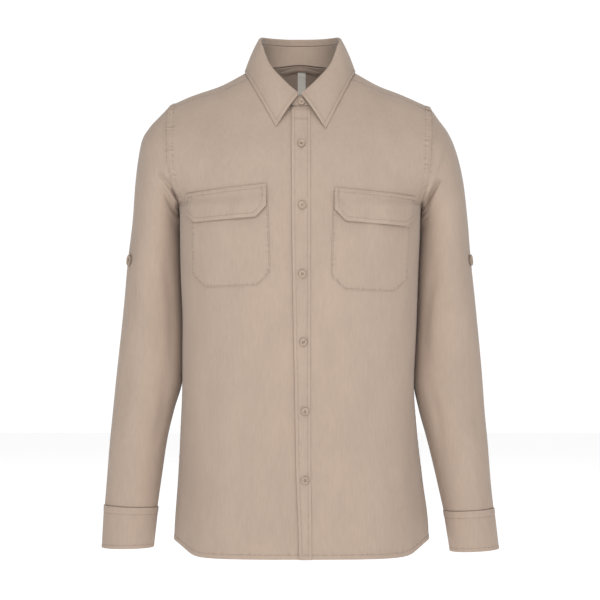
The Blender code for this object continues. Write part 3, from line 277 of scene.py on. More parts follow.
# How each seam's cloth lies: how far inside the edge its stitches run, how much the folded edge stands
# out, how deep the stitches pull, and the small puckers between them, by height, spacing and slant
Seam = namedtuple("Seam", "inside height pull pucker pitch reach lean")
ARMHOLE_SEAM = Seam(8.8, 0.75, 0.55, 1.0, 7.0, 5.0, 0.25)
SLEEVE_HEAD_SEAM = Seam(0.0, 0.0, 0.0, 0.45, 8.5, 5.0, 0.6)
YOKE_SEAM = Seam(1.8, 0.25, 0.30, 0.14, 9.0, 4.0, 0.4)
SIDE_SEAM = Seam(6.5, 0.45, 0.40, 0.25, 9.5, 5.0, 0.5)
HEM_SEAM = Seam(6.8, 0.40, 0.50, 0.50, 10.5, 6.0, 0.7)
PLACKET_SEAM = Seam(4.5, 0.20, 0.38, 0.16, 13.0, 4.0, 0.8)
POCKET_SEAM = Seam(1.9, 0.15, 0.50, 0.42, 6.8, 5.0, 0.2)
POCKET_TOP_SEAM = Seam(24.0, 0.2, 0.3, 0.12, 9.0, 4.0, 0.3)
FLAP_SEAM = Seam(6.0, 0.15, 0.42, 0.20, 7.5, 5.0, 0.3)
FLAP_TOP_SEAM = Seam(5.8, 0.45, 0.55, 0.50, 5.5, 4.0, 0.2)
COLLAR_SEAM = Seam(5.4, 0.15, 0.40, 0.14, 9.0, 4.0, 0.3)
STAND_SEAM = Seam(2.0, 0.10, 0.25, 0.10, 9.0, 3.0, 0.3)
CUFF_TOP_SEAM = Seam(10.6, 0.30, 0.42, 0.22, 10.0, 6.0, 0.4)
CUFF_FOOT_SEAM = Seam(5.4, 0.20, 0.42, 0.16, 9.0, 4.0, 0.4)
INNER_SLEEVE_SEAM = Seam(3.2, 0.45, 0.40, 0.25, 8.0, 4.0, 0.5)
LABEL_SEAM = Seam(1.2, 0.0, 0.15, 0.0, 9.0, 2.0, 0.0)

# Long soft creases, from one point to another as seen from the front. A crease is pressed in by depth,
# and a negative depth is a soft ridge
Crease = namedtuple("Crease", "x0 z0 x1 z1 width depth")
FRONT_CREASES = (
    Crease(-150, -310, -140, -540, 27, 2.4),
    Crease(-104, -338, -118, -470, 17, 1.0),
    Crease(122, -300, 143, -545, 25, 2.3),
    Crease(92, -312, 104, -455, 16, 1.1),
    Crease(-27, -515, -23, -655, 11, 1.6),
    Crease(34, -520, 28, -650, 11, 1.5),
    Crease(-62, -560, -78, -760, 19, 1.5),
    Crease(76, -590, 64, -760, 21, 1.4),
    Crease(-148, -590, -163, -760, 15, 1.7),
    Crease(146, -610, 164, -760, 16, 1.8),
    Crease(-115, -640, -120, -765, 12, -1.1),
    Crease(112, -655, 116, -765, 13, -1.2),
    Crease(-184, -176, -112, -116, 13, 1.2),
    Crease(184, -178, 108, -112, 14, 1.1),
    Crease(-150, -74, -96, -150, 18, -0.9),
    Crease(148, -76, 98, -146, 18, -0.8),
    Crease(-36, -96, -52, -168, 12, 0.8),
    Crease(42, -98, 56, -172, 12, 0.7),
    Crease(-10, -596, 22, -598, 6, 1.3),
)
BACK_CREASES = (
    Crease(-142, -170, -96, -330, 20, 1.9),
    Crease(138, -168, 100, -340, 21, 1.8),
    Crease(-60, -150, -44, -420, 17, 1.3),
    Crease(52, -152, 40, -400, 16, 1.4),
    Crease(-158, -300, -120, -520, 22, 2.2),
    Crease(152, -290, 128, -540, 21, 2.0),
    Crease(-30, -330, -36, -640, 15, 1.2),
    Crease(34, -360, 26, -655, 17, 1.3),
    Crease(-92, -470, -104, -770, 18, 1.8),
    Crease(88, -500, 96, -770, 19, 1.7),
    Crease(-10, -560, -4, -775, 14, -1.1),
    Crease(-158, -570, -168, -765, 14, 1.6),
    Crease(156, -590, 170, -765, 14, 1.5),
)
SLEEVE_FRONT_CREASES = (
    Crease(-252, -175, -262, -415, 4.6, 1.0),
    Crease(-262, -400, -282, -600, 7.0, 1.1),
    Crease(-206, -262, -194, -455, 7.5, 2.4),
    Crease(-200, -440, -226, -590, 7.0, 1.9),
    Crease(-236, -300, -246, -520, 12, -1.2),
    Crease(-246, -560, -262, -668, 8.0, 1.3),
    Crease(-232, -112, -214, -150, 8.0, 0.9),
    Crease(252, -172, 263, -410, 4.6, 1.0),
    Crease(262, -405, 282, -610, 7.0, 1.0),
    Crease(205, -272, 190, -462, 7.5, 2.4),
    Crease(196, -450, 222, -600, 7.0, 1.8),
    Crease(232, -310, 242, -530, 12, -1.1),
    Crease(250, -566, 264, -672, 8.0, 1.4),
    Crease(228, -116, 212, -154, 8.0, 0.9),
)
SLEEVE_BACK_CREASES = (
    Crease(-256, -160, -236, -330, 11, 1.5),
    Crease(-262, -340, -214, -392, 9.0, 2.0),
    Crease(-266, -380, -208, -430, 8.0, 1.7),
    Crease(-240, -430, -262, -610, 10, 1.6),
    Crease(-270, -570, -276, -672, 6.5, 1.9),
    Crease(-250, -590, -254, -672, 5.5, 1.6),
    Crease(256, -165, 234, -340, 11, 1.5),
    Crease(262, -334, 212, -388, 9.0, 1.9),
    Crease(266, -386, 206, -436, 8.0, 1.8),
    Crease(240, -440, 260, -615, 10, 1.5),
    Crease(270, -575, 277, -676, 6.5, 1.8),
    Crease(250, -594, 255, -676, 5.5, 1.7),
)

# The folds that run down into the armpits, from one point to another as seen from the front. The cloth
# above a fold sinks towards it, and the cloth below it stands out over the sunken part
ArmpitFold = namedtuple("ArmpitFold", "x0 z0 x1 z1 width0 width1 depth0 depth1 lip")
ARMPIT_FOLDS = (
    ArmpitFold(-219, -148, -180, -203, 2.8, 8.0, 2.4, 10.0, 1.4),
    ArmpitFold(-195, -207, -181, -228, 2.0, 4.5, 0.8, 3.6, 0.8),
    ArmpitFold(218, -157, 182, -222, 2.8, 8.0, 2.4, 10.0, 1.4),
    ArmpitFold(197, -217, 182, -236, 2.0, 4.5, 0.8, 3.2, 0.8),
)
ARMPIT_FOLDS_BACK = (
    ArmpitFold(-224, -166, -182, -214, 3.0, 7.0, 1.2, 6.5, 1.2),
    ArmpitFold(-200, -222, -182, -243, 2.2, 4.5, 0.8, 3.0, 0.8),
    ArmpitFold(222, -160, 183, -211, 3.0, 7.0, 1.2, 6.8, 1.2),
    ArmpitFold(203, -226, 183, -246, 2.2, 4.5, 0.8, 3.2, 0.8),
)

# Cloth, threads and edges
ROUND = 0.45
POCKET_WALL = 0.8
FLAP_WALL = 1.3
PLACKET_WALL = 1.1
COLLAR_WALL = 1.5
STITCH_LENGTH = 2.5
STITCH_GAP = 0.7
STITCH_WIDTH = 0.5
STITCH_HEIGHT = 0.24
STITCH_SINK = 0.15
WAVE_HEIGHT = 0.55
# Painted shade: how deep a groove is where its painted shade is darkest
DARKEST_GROOVE = 0.5
# How much painted shade each cut edge gets, as a thin painted contact shadow
EDGE_SHADE = 0.9
FOLD_SHARE = 0.3
SIDE_BOW_LOSS = 0.7
OUTER_DROOP_LOSS = 0.8
ARMPIT_FILL = 3.4
ARMPIT_FILL_Z = -221.0
LABEL_START = 3.0

# Fine buttons: height over the radius, and the four holes
BUTTON_PROFILE = ((0.0, 0.56), (0.5, 0.56), (0.62, 0.66), (0.74, 0.94), (0.82, 1.0), (0.92, 0.9), (0.98, 0.66), (1.0, 0.42))
BUTTON_RADII = 34
BUTTON_SPOKES = 72
HOLE_ACROSS = 0.17
HOLE_RADIUS = 0.095
HOLE_DEPTH = 1.0
THREAD_RADIUS = 0.17

# Buttonholes: a slit with thread on both sides
SLIT_LENGTH = 13.5
SLIT_SIDE = 0.75
SLIT_PITCH = 0.62

# The flat cut of each piece in metres: width, length and, where it isn't a rectangle, its area
Cut = namedtuple("Cut", "width length area held")

# Colours, as linear values
CLOTH_COLOUR = (0.415, 0.322, 0.258)
THREAD_COLOUR = (0.36, 0.275, 0.215)
LABEL_COLOUR = (0.93, 0.91, 0.84)
BUTTON_COLOUR = (0.40, 0.30, 0.225)
FLOOR_COLOUR = (0.9, 0.9, 0.9)
WEAVE_SCALE = 620.0

# Camera, light and floor
CAMERA_DISTANCE = 4.0
CAMERA_HEIGHT = -0.34565
HALF_VIEW = 0.465
FLOOR_Z = -0.86
FLOOR_SIZE = 12.0
FILL_LIGHT = 0.36
Lamp = namedtuple("Lamp", "name x y z size power")
LAMPS = (
    Lamp("key", -0.7, -3.4, 1.2, 1.2, 41.0),
    Lamp("fill", 0.9, -3.6, 0.2, 1.6, 28.0),
    Lamp("top", 0.1, -0.9, 2.0, 1.2, 12.0),
    Lamp("rim", 0.4, 2.6, 1.8, 2.0, 12.0),
)
BACKDROP_LIGHT = 1.05
FLOOR_GLOW = 0.62


class Track:
    """A smooth curve through one column of a table, which never overshoots its rows."""

    def __init__(self, places, values):
        self.places = np.asarray(places, float)
        self.values = np.asarray(values, float)
        step = np.diff(self.places)
        rate = np.diff(self.values) / step
        near = 2 * step[1:] + step[:-1]
        far = step[1:] + 2 * step[:-1]
        turns = rate[:-1] * rate[1:] <= 0
        safe = np.where(turns, 1.0, rate[:-1])
        safe_next = np.where(turns, 1.0, rate[1:])
        middle = (near + far) / (near / safe + far / safe_next)
        self.slopes = np.concatenate(([rate[0]], np.where(turns, 0.0, middle), [rate[-1]]))

    def __call__(self, place):
        low = np.clip(np.searchsorted(self.places, place) - 1, 0, len(self.places) - 2)
        step = self.places[low + 1] - self.places[low]
        t = (place - self.places[low]) / step
        value = self.values[low] * (1 + 2 * t) * (1 - t) ** 2
        value = value + self.values[low + 1] * t ** 2 * (3 - 2 * t)
        value = value + self.slopes[low] * step * t * (1 - t) ** 2
        return value + self.slopes[low + 1] * step * t ** 2 * (t - 1)


def smooth(value):
    """Runs from 0 to 1 with level ends."""
    value = np.clip(value, 0.0, 1.0)
    return value * value * (3 - 2 * value)


def spread(low, high, count):
    """Even steps from low to high, ends included."""
    return np.linspace(low, high, count + 1)


def columns(rows, places):
    """One Track for each named column of a table of numbers."""
    names = [name for name in rows[0]._fields if name not in ("place", "angle", "z")]
    return {name: Track(places, [getattr(row, name) for row in rows]) for name in names}


def walk(rows):
    """How far along the centre line each body row lies, from the first one."""
    steps = [math.dist((a.centre_y, a.centre_z), (b.centre_y, b.centre_z)) for a, b in zip(rows, rows[1:])]
    return np.concatenate(([0.0], np.cumsum(steps)))

BODY_PLACES = walk(BODY_ROWS)
BODY = columns(BODY_ROWS, BODY_PLACES)
PLACE = {row.place: place for row, place in zip(BODY_ROWS, BODY_PLACES)}
RIDGE = PLACE["shoulder ridge"]
FRONT_SEAM = PLACE["front yoke seam"]
BACK_SEAM = PLACE["back yoke seam"]
COLLAR = columns(COLLAR_ROWS, [row.angle for row in COLLAR_ROWS])
PLACKET = columns(PLACKET_ROWS[::-1], [row.z for row in PLACKET_ROWS[::-1]])


def roundness(across, square):
    """Depth of a rounded square section at a share of its half-width, 0 in the middle and 1 at the side."""
    return 1 - np.maximum(0.0, 1 - across ** square) ** (1 / square)


def body_point(side, across, place):
    """A point on the outside of the body's cloth: across is 0 at the centre and 1 at the side or armhole."""
    half = BODY["right" if side < 0 else "left"](place)
    reach = np.sin(np.radians(BODY["wrap"](place)))
    square = BODY["square"](place)
    flare = BODY["flare"](place)
    share = np.abs(across)
    bend = roundness(share * reach, square) / roundness(reach, square)
    y = BODY["centre_y"](place) + (BODY["edge_y"](place) - BODY["centre_y"](place)) * bend
    x = across * (half - flare) + flare * smooth((y - FLARE_START_Y) / FLARE_LENGTH) * np.sign(across)
    x = np.where(place > RIDGE, across * half, x)
    slope = (np.hypot(share, CENTRE_ROUND) - CENTRE_ROUND) / (math.hypot(1.0, CENTRE_ROUND) - CENTRE_ROUND)
    z = BODY["centre_z"](place) + (BODY["edge_z"](place) - BODY["centre_z"](place)) * slope
    near_ridge = np.exp(-((place - RIDGE) / SHOULDER_DIP_REACH) ** 2)
    z = z - SHOULDER_DIP * near_ridge * np.exp(-((share - SHOULDER_DIP_ACROSS) / SHOULDER_DIP_WIDTH) ** 2)
    z = z + SHOULDER_RISE[side] * near_ridge * smooth((share - SHOULDER_DIP_ACROSS) / SHOULDER_RISE_WIDTH)
    return np.stack(np.broadcast_arrays(side * x, y, z), axis=-1)


def unit(vectors):
    return vectors / np.maximum(np.linalg.norm(vectors, axis=-1, keepdims=True), 1e-9)


def body(side, across, place, lift=0.0):
    """A point of the body's cloth moved out by lift along the cloth's normal."""
    across, place = np.broadcast_arrays(np.asarray(across, float), np.asarray(place, float))
    low_across = across - 0.004
    high_across = np.minimum(across + 0.004, 1.0)
    along_across = body_point(side, high_across, place) - body_point(side, low_across, place)
    along_place = body_point(side, across, place + 1.0) - body_point(side, across, place - 1.0)
    normal = unit(np.cross(along_across, along_place)) * side
    return body_point(side, across, place) + normal * np.asarray(lift)[..., None]


def place_at(side, across, z, low, high):
    """The place along the body where a column reaches the height z, found by halving."""
    across, z = np.broadcast_arrays(np.asarray(across, float), np.asarray(z, float))
    low = np.full(across.shape, float(low))
    high = np.full(across.shape, float(high))
    rising = body_point(side, across, high)[..., 2] > body_point(side, across, low)[..., 2]
    for _ in range(40):
        middle = (low + high) / 2
        above = (body_point(side, across, middle)[..., 2] > z) == rising
        high = np.where(above, middle, high)
        low = np.where(above, low, middle)
    return (low + high) / 2


def front_place(side, x, z):
    """Across and place of the front's cloth that lies at x and z as seen from the front."""
    x, z = np.broadcast_arrays(np.asarray(x, float), np.asarray(z, float))
    across = np.clip(side * x / FRONT_HALF_WIDTH, -0.3, 0.999)
    for _ in range(12):
        place = place_at(side, across, z, 0.0, RIDGE)
        width = body_point(side, np.maximum(across, 0.05), place)[..., 0] / np.maximum(across, 0.05)
        across = np.clip(x / width, -0.3, 0.999)
    return across, place


def on_front(side, x, z, lift):
    across, place = front_place(side, x, z)
    return body(side, across, place, lift)


def hem_place(side, across, front):
    """Place of the shirt-tail hem, which drops quickly from the side seam."""
    middle_z = HEM_FRONT_Z if front else HEM_BACK_Z
    z = HEM_SIDE_Z + (middle_z - HEM_SIDE_Z) * (1 - np.abs(across) ** HEM_CURVE)
    if front:
        return place_at(side, across, z, 0.0, PLACE["front waist"])
    return place_at(side, across, z, PLACE["back waist"], BODY_PLACES[-1])

NECK_FRONT = float(place_at(RIGHT, 0.0, NECK_FRONT_Z, PLACE["front armpit"], RIDGE))
NECK_BACK = float(place_at(RIGHT, 0.0, NECK_BACK_Z, RIDGE, PLACE["back armpit"]))
NECK_ACROSS = NECK_HALF_WIDTH / RIDGE_ROW.right
NECK_SEAM_ANGLE = math.degrees(math.acos((RIDGE - FRONT_SEAM) / (RIDGE - NECK_FRONT)))


def neckline(angle):
    """Across and place of the neckline at an angle from the centre front."""
    turn = np.radians(angle)
    reach = np.where(np.cos(turn) > 0, RIDGE - NECK_FRONT, NECK_BACK - RIDGE)
    return NECK_ACROSS * np.sin(turn), RIDGE - reach * np.cos(turn)


def under_drop(x):
    """How far the right front sinks to lie under the left one at the centre."""
    return UNDER_DROP * smooth((x - UNDER_START) / UNDER_LENGTH)


def ring_frame(side, ring):
    """A sleeve ring's sizes at any place between two rows of the table."""
    rows = SLEEVE_ROWS[side]
    track = {name: Track(range(len(rows)), [getattr(row, name) for row in rows]) for name in rows[0]._fields}
    return {name: column(ring) for name, column in track.items()}


def ring_point(side, angle, ring):
    return frame_point(ring_frame(side, ring), angle)


def frame_point(frame, angle):
    """A point of a sleeve ring: 0 degrees is outermost, 90 in front and 180 at the underarm."""
    turn = np.radians(angle)
    power = 2 / frame["square"]
    top = np.sign(np.cos(turn)) * np.abs(np.cos(turn)) ** power
    forward = np.sign(np.sin(turn)) * np.abs(np.sin(turn)) ** power
    depth = np.where(forward > 0, frame["front"], frame["back"])
    x = (frame["outer_x"] + frame["inner_x"]) / 2 + top * (frame["outer_x"] - frame["inner_x"]) / 2
    z = (frame["outer_z"] + frame["inner_z"]) / 2 + top * (frame["outer_z"] - frame["inner_z"]) / 2
    y = frame["middle_y"] - forward * depth
    return np.stack(np.broadcast_arrays(x, y, z), axis=-1)


def armhole_angle(side, place):
    """The angle round the first sleeve ring at which a place of the armhole lies."""
    point = body_point(side, 1.0, place)
    row = SLEEVE_ROWS[side][0]
    middle = np.array([(row.outer_x + row.inner_x) / 2, row.middle_y, (row.outer_z + row.inner_z) / 2])
    axis = np.array([row.outer_x, row.middle_y, row.outer_z]) - middle
    top = (point - middle) @ axis / (axis @ axis)
    forward = -(point[..., 1] - row.middle_y) / row.front
    return np.degrees(np.arctan2(forward, top))

ARMHOLE_SAMPLES = np.concatenate((
    spread(PLACE["front armpit"], RIDGE, 160),
    spread(RIDGE, PLACE["back armpit"], 160)[1:],
))


def armhole_shift(side, angle):
    """How far the real armhole lies from the first plain ring at an angle."""
    angles = armhole_angle(side, ARMHOLE_SAMPLES)
    angles[ARMHOLE_SAMPLES > RIDGE] = -np.abs(angles[ARMHOLE_SAMPLES > RIDGE])
    shift = body_point(side, 1.0, ARMHOLE_SAMPLES) - ring_point(side, angles, 0.0)
    order = np.argsort(angles)
    return np.stack([np.interp(angle, angles[order], shift[order, axis]) for axis in range(3)], axis=-1)


def sleeve_point(side, angle, ring):
    """A point of the sleeve's plain form, which starts at the armhole."""
    angle, ring = np.broadcast_arrays(np.asarray(angle, float), np.asarray(ring, float))
    wrapped = (angle + 180.0) % 360.0 - 180.0
    near = 1 - smooth(ring / SLEEVE_BLEND)
    return ring_point(side, wrapped, ring) + armhole_shift(side, wrapped) * near[..., None]


def sleeve_fold_depth(angle, ring):
    """How far the armpit creases press the cloth in."""
    wrapped = (angle + 180.0) % 360.0 - 180.0
    depth = np.zeros(np.broadcast(angle, ring).shape)
    for fold in SLEEVE_FOLDS:
        length = fold.end - fold.start
        along = np.clip((wrapped - fold.start) / length, 0, 1)
        fade = np.sin(np.pi * along) ** SLEEVE_FOLD_FADE
        depth = depth + fold.depth * fade * np.exp(-((ring - fold.ring) / fold.width) ** 2)
    return depth


def sleeve(side, angle, ring, lift=0.0):
    """A point of the sleeve's cloth moved out by lift, with the armpit creases pressed in."""
    angle, ring = np.broadcast_arrays(np.asarray(angle, float), np.asarray(ring, float))
    low = np.maximum(ring - 0.05, 0.0)
    high = np.minimum(ring + 0.05, len(SLEEVE_ROWS[side]) - 1.0)
    round_it = sleeve_point(side, angle + 1.0, ring) - sleeve_point(side, angle - 1.0, ring)
    along = sleeve_point(side, angle, high) - sleeve_point(side, angle, low)
    normal = unit(np.cross(round_it, along)) * side
    out = np.asarray(lift) - FOLD_SHARE * sleeve_fold_depth(angle, ring)
    return sleeve_point(side, angle, ring) + normal * out[..., None]


def collar_ring(side, angle):
    """The top of the collar's fold at an angle from the centre front."""
    turn = np.radians(angle)
    x = side * COLLAR["half_width"](angle) * np.sin(turn)
    y = COLLAR["middle_y"](angle) - COLLAR["half_depth"](angle) * np.cos(turn)
    return np.stack(np.broadcast_arrays(x, y, COLLAR["top_z"](angle)), axis=-1)


def stand_point(side, angle, rise):
    """A point of the stand: rise is 0 at the neckline and 1 at its top edge."""
    foot = body_point(side, *neckline(angle))
    foot = foot + np.array([0.0, 0.0, STAND_GAP])
    top = collar_ring(side, angle)
    top[..., 2] -= COLLAR["rise"](angle)
    return foot + (top - foot) * np.asarray(rise)[..., None]


def outward(points, side, angle):
    """Level direction that points away from the neck's middle."""
    turn = np.radians(angle)
    x = side * np.sin(turn) / NECK_HALF_WIDTH
    y = -np.cos(turn) / NECK_HALF_DEPTH
    return unit(np.stack(np.broadcast_arrays(x, y, np.zeros_like(x)), axis=-1))


def leaf_edge(side, angle):
    """Across and place of the fall's outer edge, which lies on the fronts and the yoke."""
    share = np.clip(angle / LEAF_SHOULDER_ANGLE, 0, 1)
    tip_x, tip_z = LEAF_TIP[side]
    x = tip_x + (side * LEAF_SHOULDER[0] - tip_x) * share
    z = tip_z + (LEAF_SHOULDER[1] - tip_z) * share
    front_across, front_at = front_place(side, x, z)
    turn = np.radians(np.maximum(angle, LEAF_SHOULDER_ANGLE))
    start = np.radians(LEAF_SHOULDER_ANGLE)
    join_across, join_at = front_place(side, np.array([side * LEAF_SHOULDER[0]]), np.array([LEAF_SHOULDER[1]]))
    front_reach = (RIDGE - join_at[0]) / math.cos(start)
    across_reach = join_across[0] / math.sin(start)
    back_reach = NECK_BACK - RIDGE + LEAF_BACK_DROP
    back_across = across_reach * np.sin(turn)
    back_at = RIDGE - np.where(np.cos(turn) > 0, front_reach, back_reach) * np.cos(turn)
    on_leaf = angle <= LEAF_SHOULDER_ANGLE
    return np.where(on_leaf, front_across, back_across), np.where(on_leaf, front_at, back_at)


def fall_profile(side, angle, edge, step, lift):
    """The fall's section at an angle: up from the stand, round the fold and down to the outer edge."""
    ring = collar_ring(side, angle)
    away = outward(ring, side, angle)
    up = np.array([0.0, 0.0, 1.0])
    rise = COLLAR["rise"](angle)
    start = ring - up * (rise - SEAM)[..., None]
    fold_in = ring - up * FOLD_RADIUS
    fold_out = ring + away * 2 * FOLD_RADIUS - up * FOLD_RADIUS
    middle = ring + away * FOLD_RADIUS - up * FOLD_RADIUS
    if step <= 1:
        point = start + (fold_in - start) * step
        normal = -away
    elif step <= 2:
        turn = math.pi * (step - 1)
        normal = -away * math.cos(turn) + up * math.sin(turn)
        point = middle + normal * FOLD_RADIUS
    else:
        share = step - 2
        line = edge - fold_out
        sideways = unit(np.cross(np.cross(away, up), line))
        sideways = sideways * np.sign((sideways * away).sum(-1, keepdims=True))
        bow = LEAF_BOW * math.sin(math.pi * share ** LEAF_BOW_SKEW) * (1 - SIDE_BOW_LOSS * np.sin(np.radians(angle)))
        point = fold_out + line * share + sideways * bow[..., None]
        normal = sideways
    return point + normal * lift


# Measuring on the cloth
def resampled(line, step):
    """The same line with even steps of about a given length."""
    walked = np.concatenate(([0.0], np.cumsum(np.linalg.norm(np.diff(line, axis=0), axis=1))))
    places = spread(0.0, walked[-1], max(1, round(walked[-1] / step)))
    return np.stack([np.interp(places, walked, line[:, axis]) for axis in range(3)], axis=-1)


def near_line(points, line):
    """Each point's distance from a line, and how far along the line it lies."""
    line = resampled(line, 4.0)
    flat = points.reshape(-1, 3)
    nearest = np.full(len(flat), 1e9)
    along = np.zeros(len(flat))
    walked = 0.0
    for start, end in zip(line, line[1:]):
        step = end - start
        length = np.linalg.norm(step)
        share = np.clip((flat - start) @ step / length ** 2, 0.0, 1.0)
        gap = np.linalg.norm(flat - start - share[:, None] * step, axis=1)
        closer = gap < nearest
        nearest[closer] = gap[closer]
        along[closer] = walked + share[closer] * length
        walked += length
    return nearest.reshape(points.shape[:-1]), along.reshape(points.shape[:-1])


def ripple(along, pitch, phase):
    """Uneven waves along a seam."""
    turn = 2 * np.pi * along / pitch
    uneven = np.sin(turn + 1.4 * np.sin(turn / 3.7 + phase) + 2.6 * phase)
    return uneven * (0.6 + 0.4 * np.sin(turn / 5.3 + 2 * phase))


def seam_relief(points, line, seam, phase=0.0):
    """How a seam lifts, pulls and puckers the cloth along a line on its edge."""
    distance, along = near_line(points, line)
    lift = seam.height * (1 - smooth((distance - seam.inside + 0.5) / 1.2))
    lift = lift - seam.pull * np.exp(-((distance - seam.inside) / 0.8) ** 2)
    window = np.exp(-((distance - 0.6 * seam.inside) / seam.reach) ** 2)
    return lift + seam.pucker * ripple(along + seam.lean * distance, seam.pitch, phase) * window


def creased(points, creases):
    """How long soft creases move the cloth, as seen from the front or the back."""
    lift = np.zeros(points.shape[:-1])
    for crease in creases:
        run = np.array([crease.x1 - crease.x0, crease.z1 - crease.z0])
        length = math.hypot(*run)
        from_start = points[..., (0, 2)] - np.array([crease.x0, crease.z0])
        share = np.clip(from_start @ run / length ** 2, 0.0, 1.0)
        aside = (from_start[..., 0] * run[1] - from_start[..., 1] * run[0]) / length
        bend = 0.35 * crease.width * np.sin(2.2 * np.pi * share + crease.x0)
        fade = smooth(share / 0.35) * smooth((1 - share) / 0.35)
        lift -= crease.depth * fade * np.exp(-((aside - bend) / crease.width) ** 2)
    return lift


def waves(points, phase):
    """The slight unevenness of washed cotton, longer up and down than across."""
    x, y, z = (points[..., axis] for axis in range(3))
    lift = np.sin(x / 9.5 + 0.6 * np.sin(z / 61 + phase) + phase) * np.sin(z / 47 + 0.5 * np.sin(x / 33))
    lift = lift + 0.8 * np.sin(x / 17 + y / 23 + 0.7 * np.sin(z / 90) + 2 * phase)
    lift = lift + 0.5 * np.sin(z / 31 + x / 55 + 3 * phase) * np.sin(x / 21 + y / 19)
    return WAVE_HEIGHT * 0.5 * lift


def graded(length, dense, fine, coarse, start=True, end=True):
    """Shares from 0 to 1 with fine steps near the ends that are dense, and coarse ones between."""
    near = np.arange(0.0, dense, fine)
    low = dense if start else 0.0
    high = length - dense if end else length
    middle = spread(low, high, max(2, round((high - low) / coarse)))
    parts = [near] if start else []
    parts.append(middle)
    if end:
        parts.append(length - near[::-1])
    return np.concatenate(parts) / length


# Making meshes
BUILT = {}
PARTS = {}


def pull_in(grid, distance, closed):
    """Draws a grid's edges back along the cloth."""
    grid = grid.copy()
    grid[0] += unit(grid[1] - grid[0]) * distance
    grid[-1] += unit(grid[-2] - grid[-1]) * distance
    if not closed:
        grid[:, 0] += unit(grid[:, 1] - grid[:, 0]) * distance
        grid[:, -1] += unit(grid[:, -2] - grid[:, -1]) * distance
    return grid


def rims(rows, cols, closed):
    """The grid's edges as loops of point numbers."""
    number = np.arange(rows * cols).reshape(rows, cols)
    if closed:
        return [list(number[0]), list(number[-1][::-1])]
    return [list(np.concatenate((number[0], number[1:, -1], number[-1, -2::-1], number[-2:0:-1, 0])))]


def shell(name, surface, thickness, painted_shade=None, closed=False, material="cloth", round_by=ROUND):
    """One closed sheet with rounded edges. surface takes how far out a point lies and gives a grid."""
    outer = pull_in(surface(0.0), round_by, closed)
    middle = surface(-thickness / 2)
    inner = pull_in(surface(-thickness), round_by, closed)
    rows, cols = outer.shape[:2]
    count = rows * cols
    points = [outer.reshape(-1, 3), inner.reshape(-1, 3)]
    number = np.arange(count).reshape(rows, cols)
    if closed:
        number = np.concatenate((number, number[:, :1]), axis=1)
    a, b = number[:-1, :-1].ravel(), number[:-1, 1:].ravel()
    c, d = number[1:, 1:].ravel(), number[1:, :-1].ravel()
    faces = [np.stack((a, b, c, d), axis=1), np.stack((a, d, c, b), axis=1) + count]
    total = 2 * count
    for loop in rims(rows, cols, closed):
        ring = np.arange(len(loop)) + total
        points.append(middle.reshape(-1, 3)[loop])
        total += len(loop)
        loop = np.array(loop)
        after, ring_after = np.roll(loop, -1), np.roll(ring, -1)
        faces.append(np.stack((loop, ring, ring_after, after), axis=1))
        faces.append(np.stack((ring, loop + count, after + count, ring_after), axis=1))
    points = np.concatenate(points)
    shade = np.zeros(total)
    # Painted shade along every cut edge
    shade[2 * count:] = EDGE_SHADE
    # Painted shade in the grooves of the outside
    if painted_shade is not None:
        shade[:count] = painted_shade.ravel()
    # Less painted shade on the collar stand's edges
    if name == "collar_stand":
        shade[2 * count:] = 0.2
    across = np.concatenate((np.zeros((rows, 1)), np.cumsum(np.linalg.norm(np.diff(outer, axis=1), axis=2), axis=1)), axis=1)
    along = np.concatenate((np.zeros((1, cols)), np.cumsum(np.linalg.norm(np.diff(outer, axis=0), axis=2), axis=0)), axis=0)
    flat = np.zeros((total, 2))
    flat[:count] = np.stack((across.ravel(), along.ravel()), axis=1) * MM
    flat[count:2 * count] = flat[:count]
    return add_mesh(name, points, np.concatenate(faces).tolist(), material, shade, flat, outer)


def add_mesh(name, points, faces, material, shade=None, flat=None, outer=None):
    """Makes a mesh object from points in millimetres, and keeps its surface for what lies on it."""
    mesh = bpy.data.meshes.new(name)
    mesh.from_pydata((np.asarray(points) * MM).tolist(), [], faces)
    mesh.update()
    if signed_volume(mesh) < 0:
        mesh.flip_normals()
    mesh.shade_smooth()
    mesh.materials.append(MATERIALS[material])
    # Each point's painted shade, which the materials read
    shades = mesh.attributes.new("painted_shade", "FLOAT", "POINT")
    if shade is not None:
        shades.data.foreach_set("value", np.asarray(shade, dtype=np.float32))
    if flat is not None:
        corners = np.empty(len(mesh.loops), dtype=np.int32)
        mesh.loops.foreach_get("vertex_index", corners)
        layer = mesh.uv_layers.new(name="cut")
        layer.data.foreach_set("uv", flat[corners].astype(np.float32).ravel())
    if outer is not None:
        BUILT[name] = surface_tree(outer)
        PARTS[name] = outer
    piece = bpy.data.objects.new("fine_" + name, mesh)
    bpy.context.scene.collection.objects.link(piece)
    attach(piece, "root")
    return piece


def signed_volume(mesh):
    points = np.empty(len(mesh.vertices) * 3)
    mesh.vertices.foreach_get("co", points)
    points = points.reshape(-1, 3)
    mesh.calc_loop_triangles()
    corners = np.empty(len(mesh.loop_triangles) * 3, dtype=np.int32)
    mesh.loop_triangles.foreach_get("vertices", corners)
    a, b, c = points[corners.reshape(-1, 3)].transpose(1, 0, 2)
    return float((a * np.cross(b, c)).sum() / 6)


def surface_tree(outer):
    rows, cols = outer.shape[:2]
    number = np.arange(rows * cols).reshape(rows, cols)
    faces = np.stack((number[:-1, :-1], number[:-1, 1:], number[1:, 1:], number[1:, :-1]), axis=-1).reshape(-1, 4)
    return BVHTree.FromPolygons(outer.reshape(-1, 3).tolist(), faces.tolist())


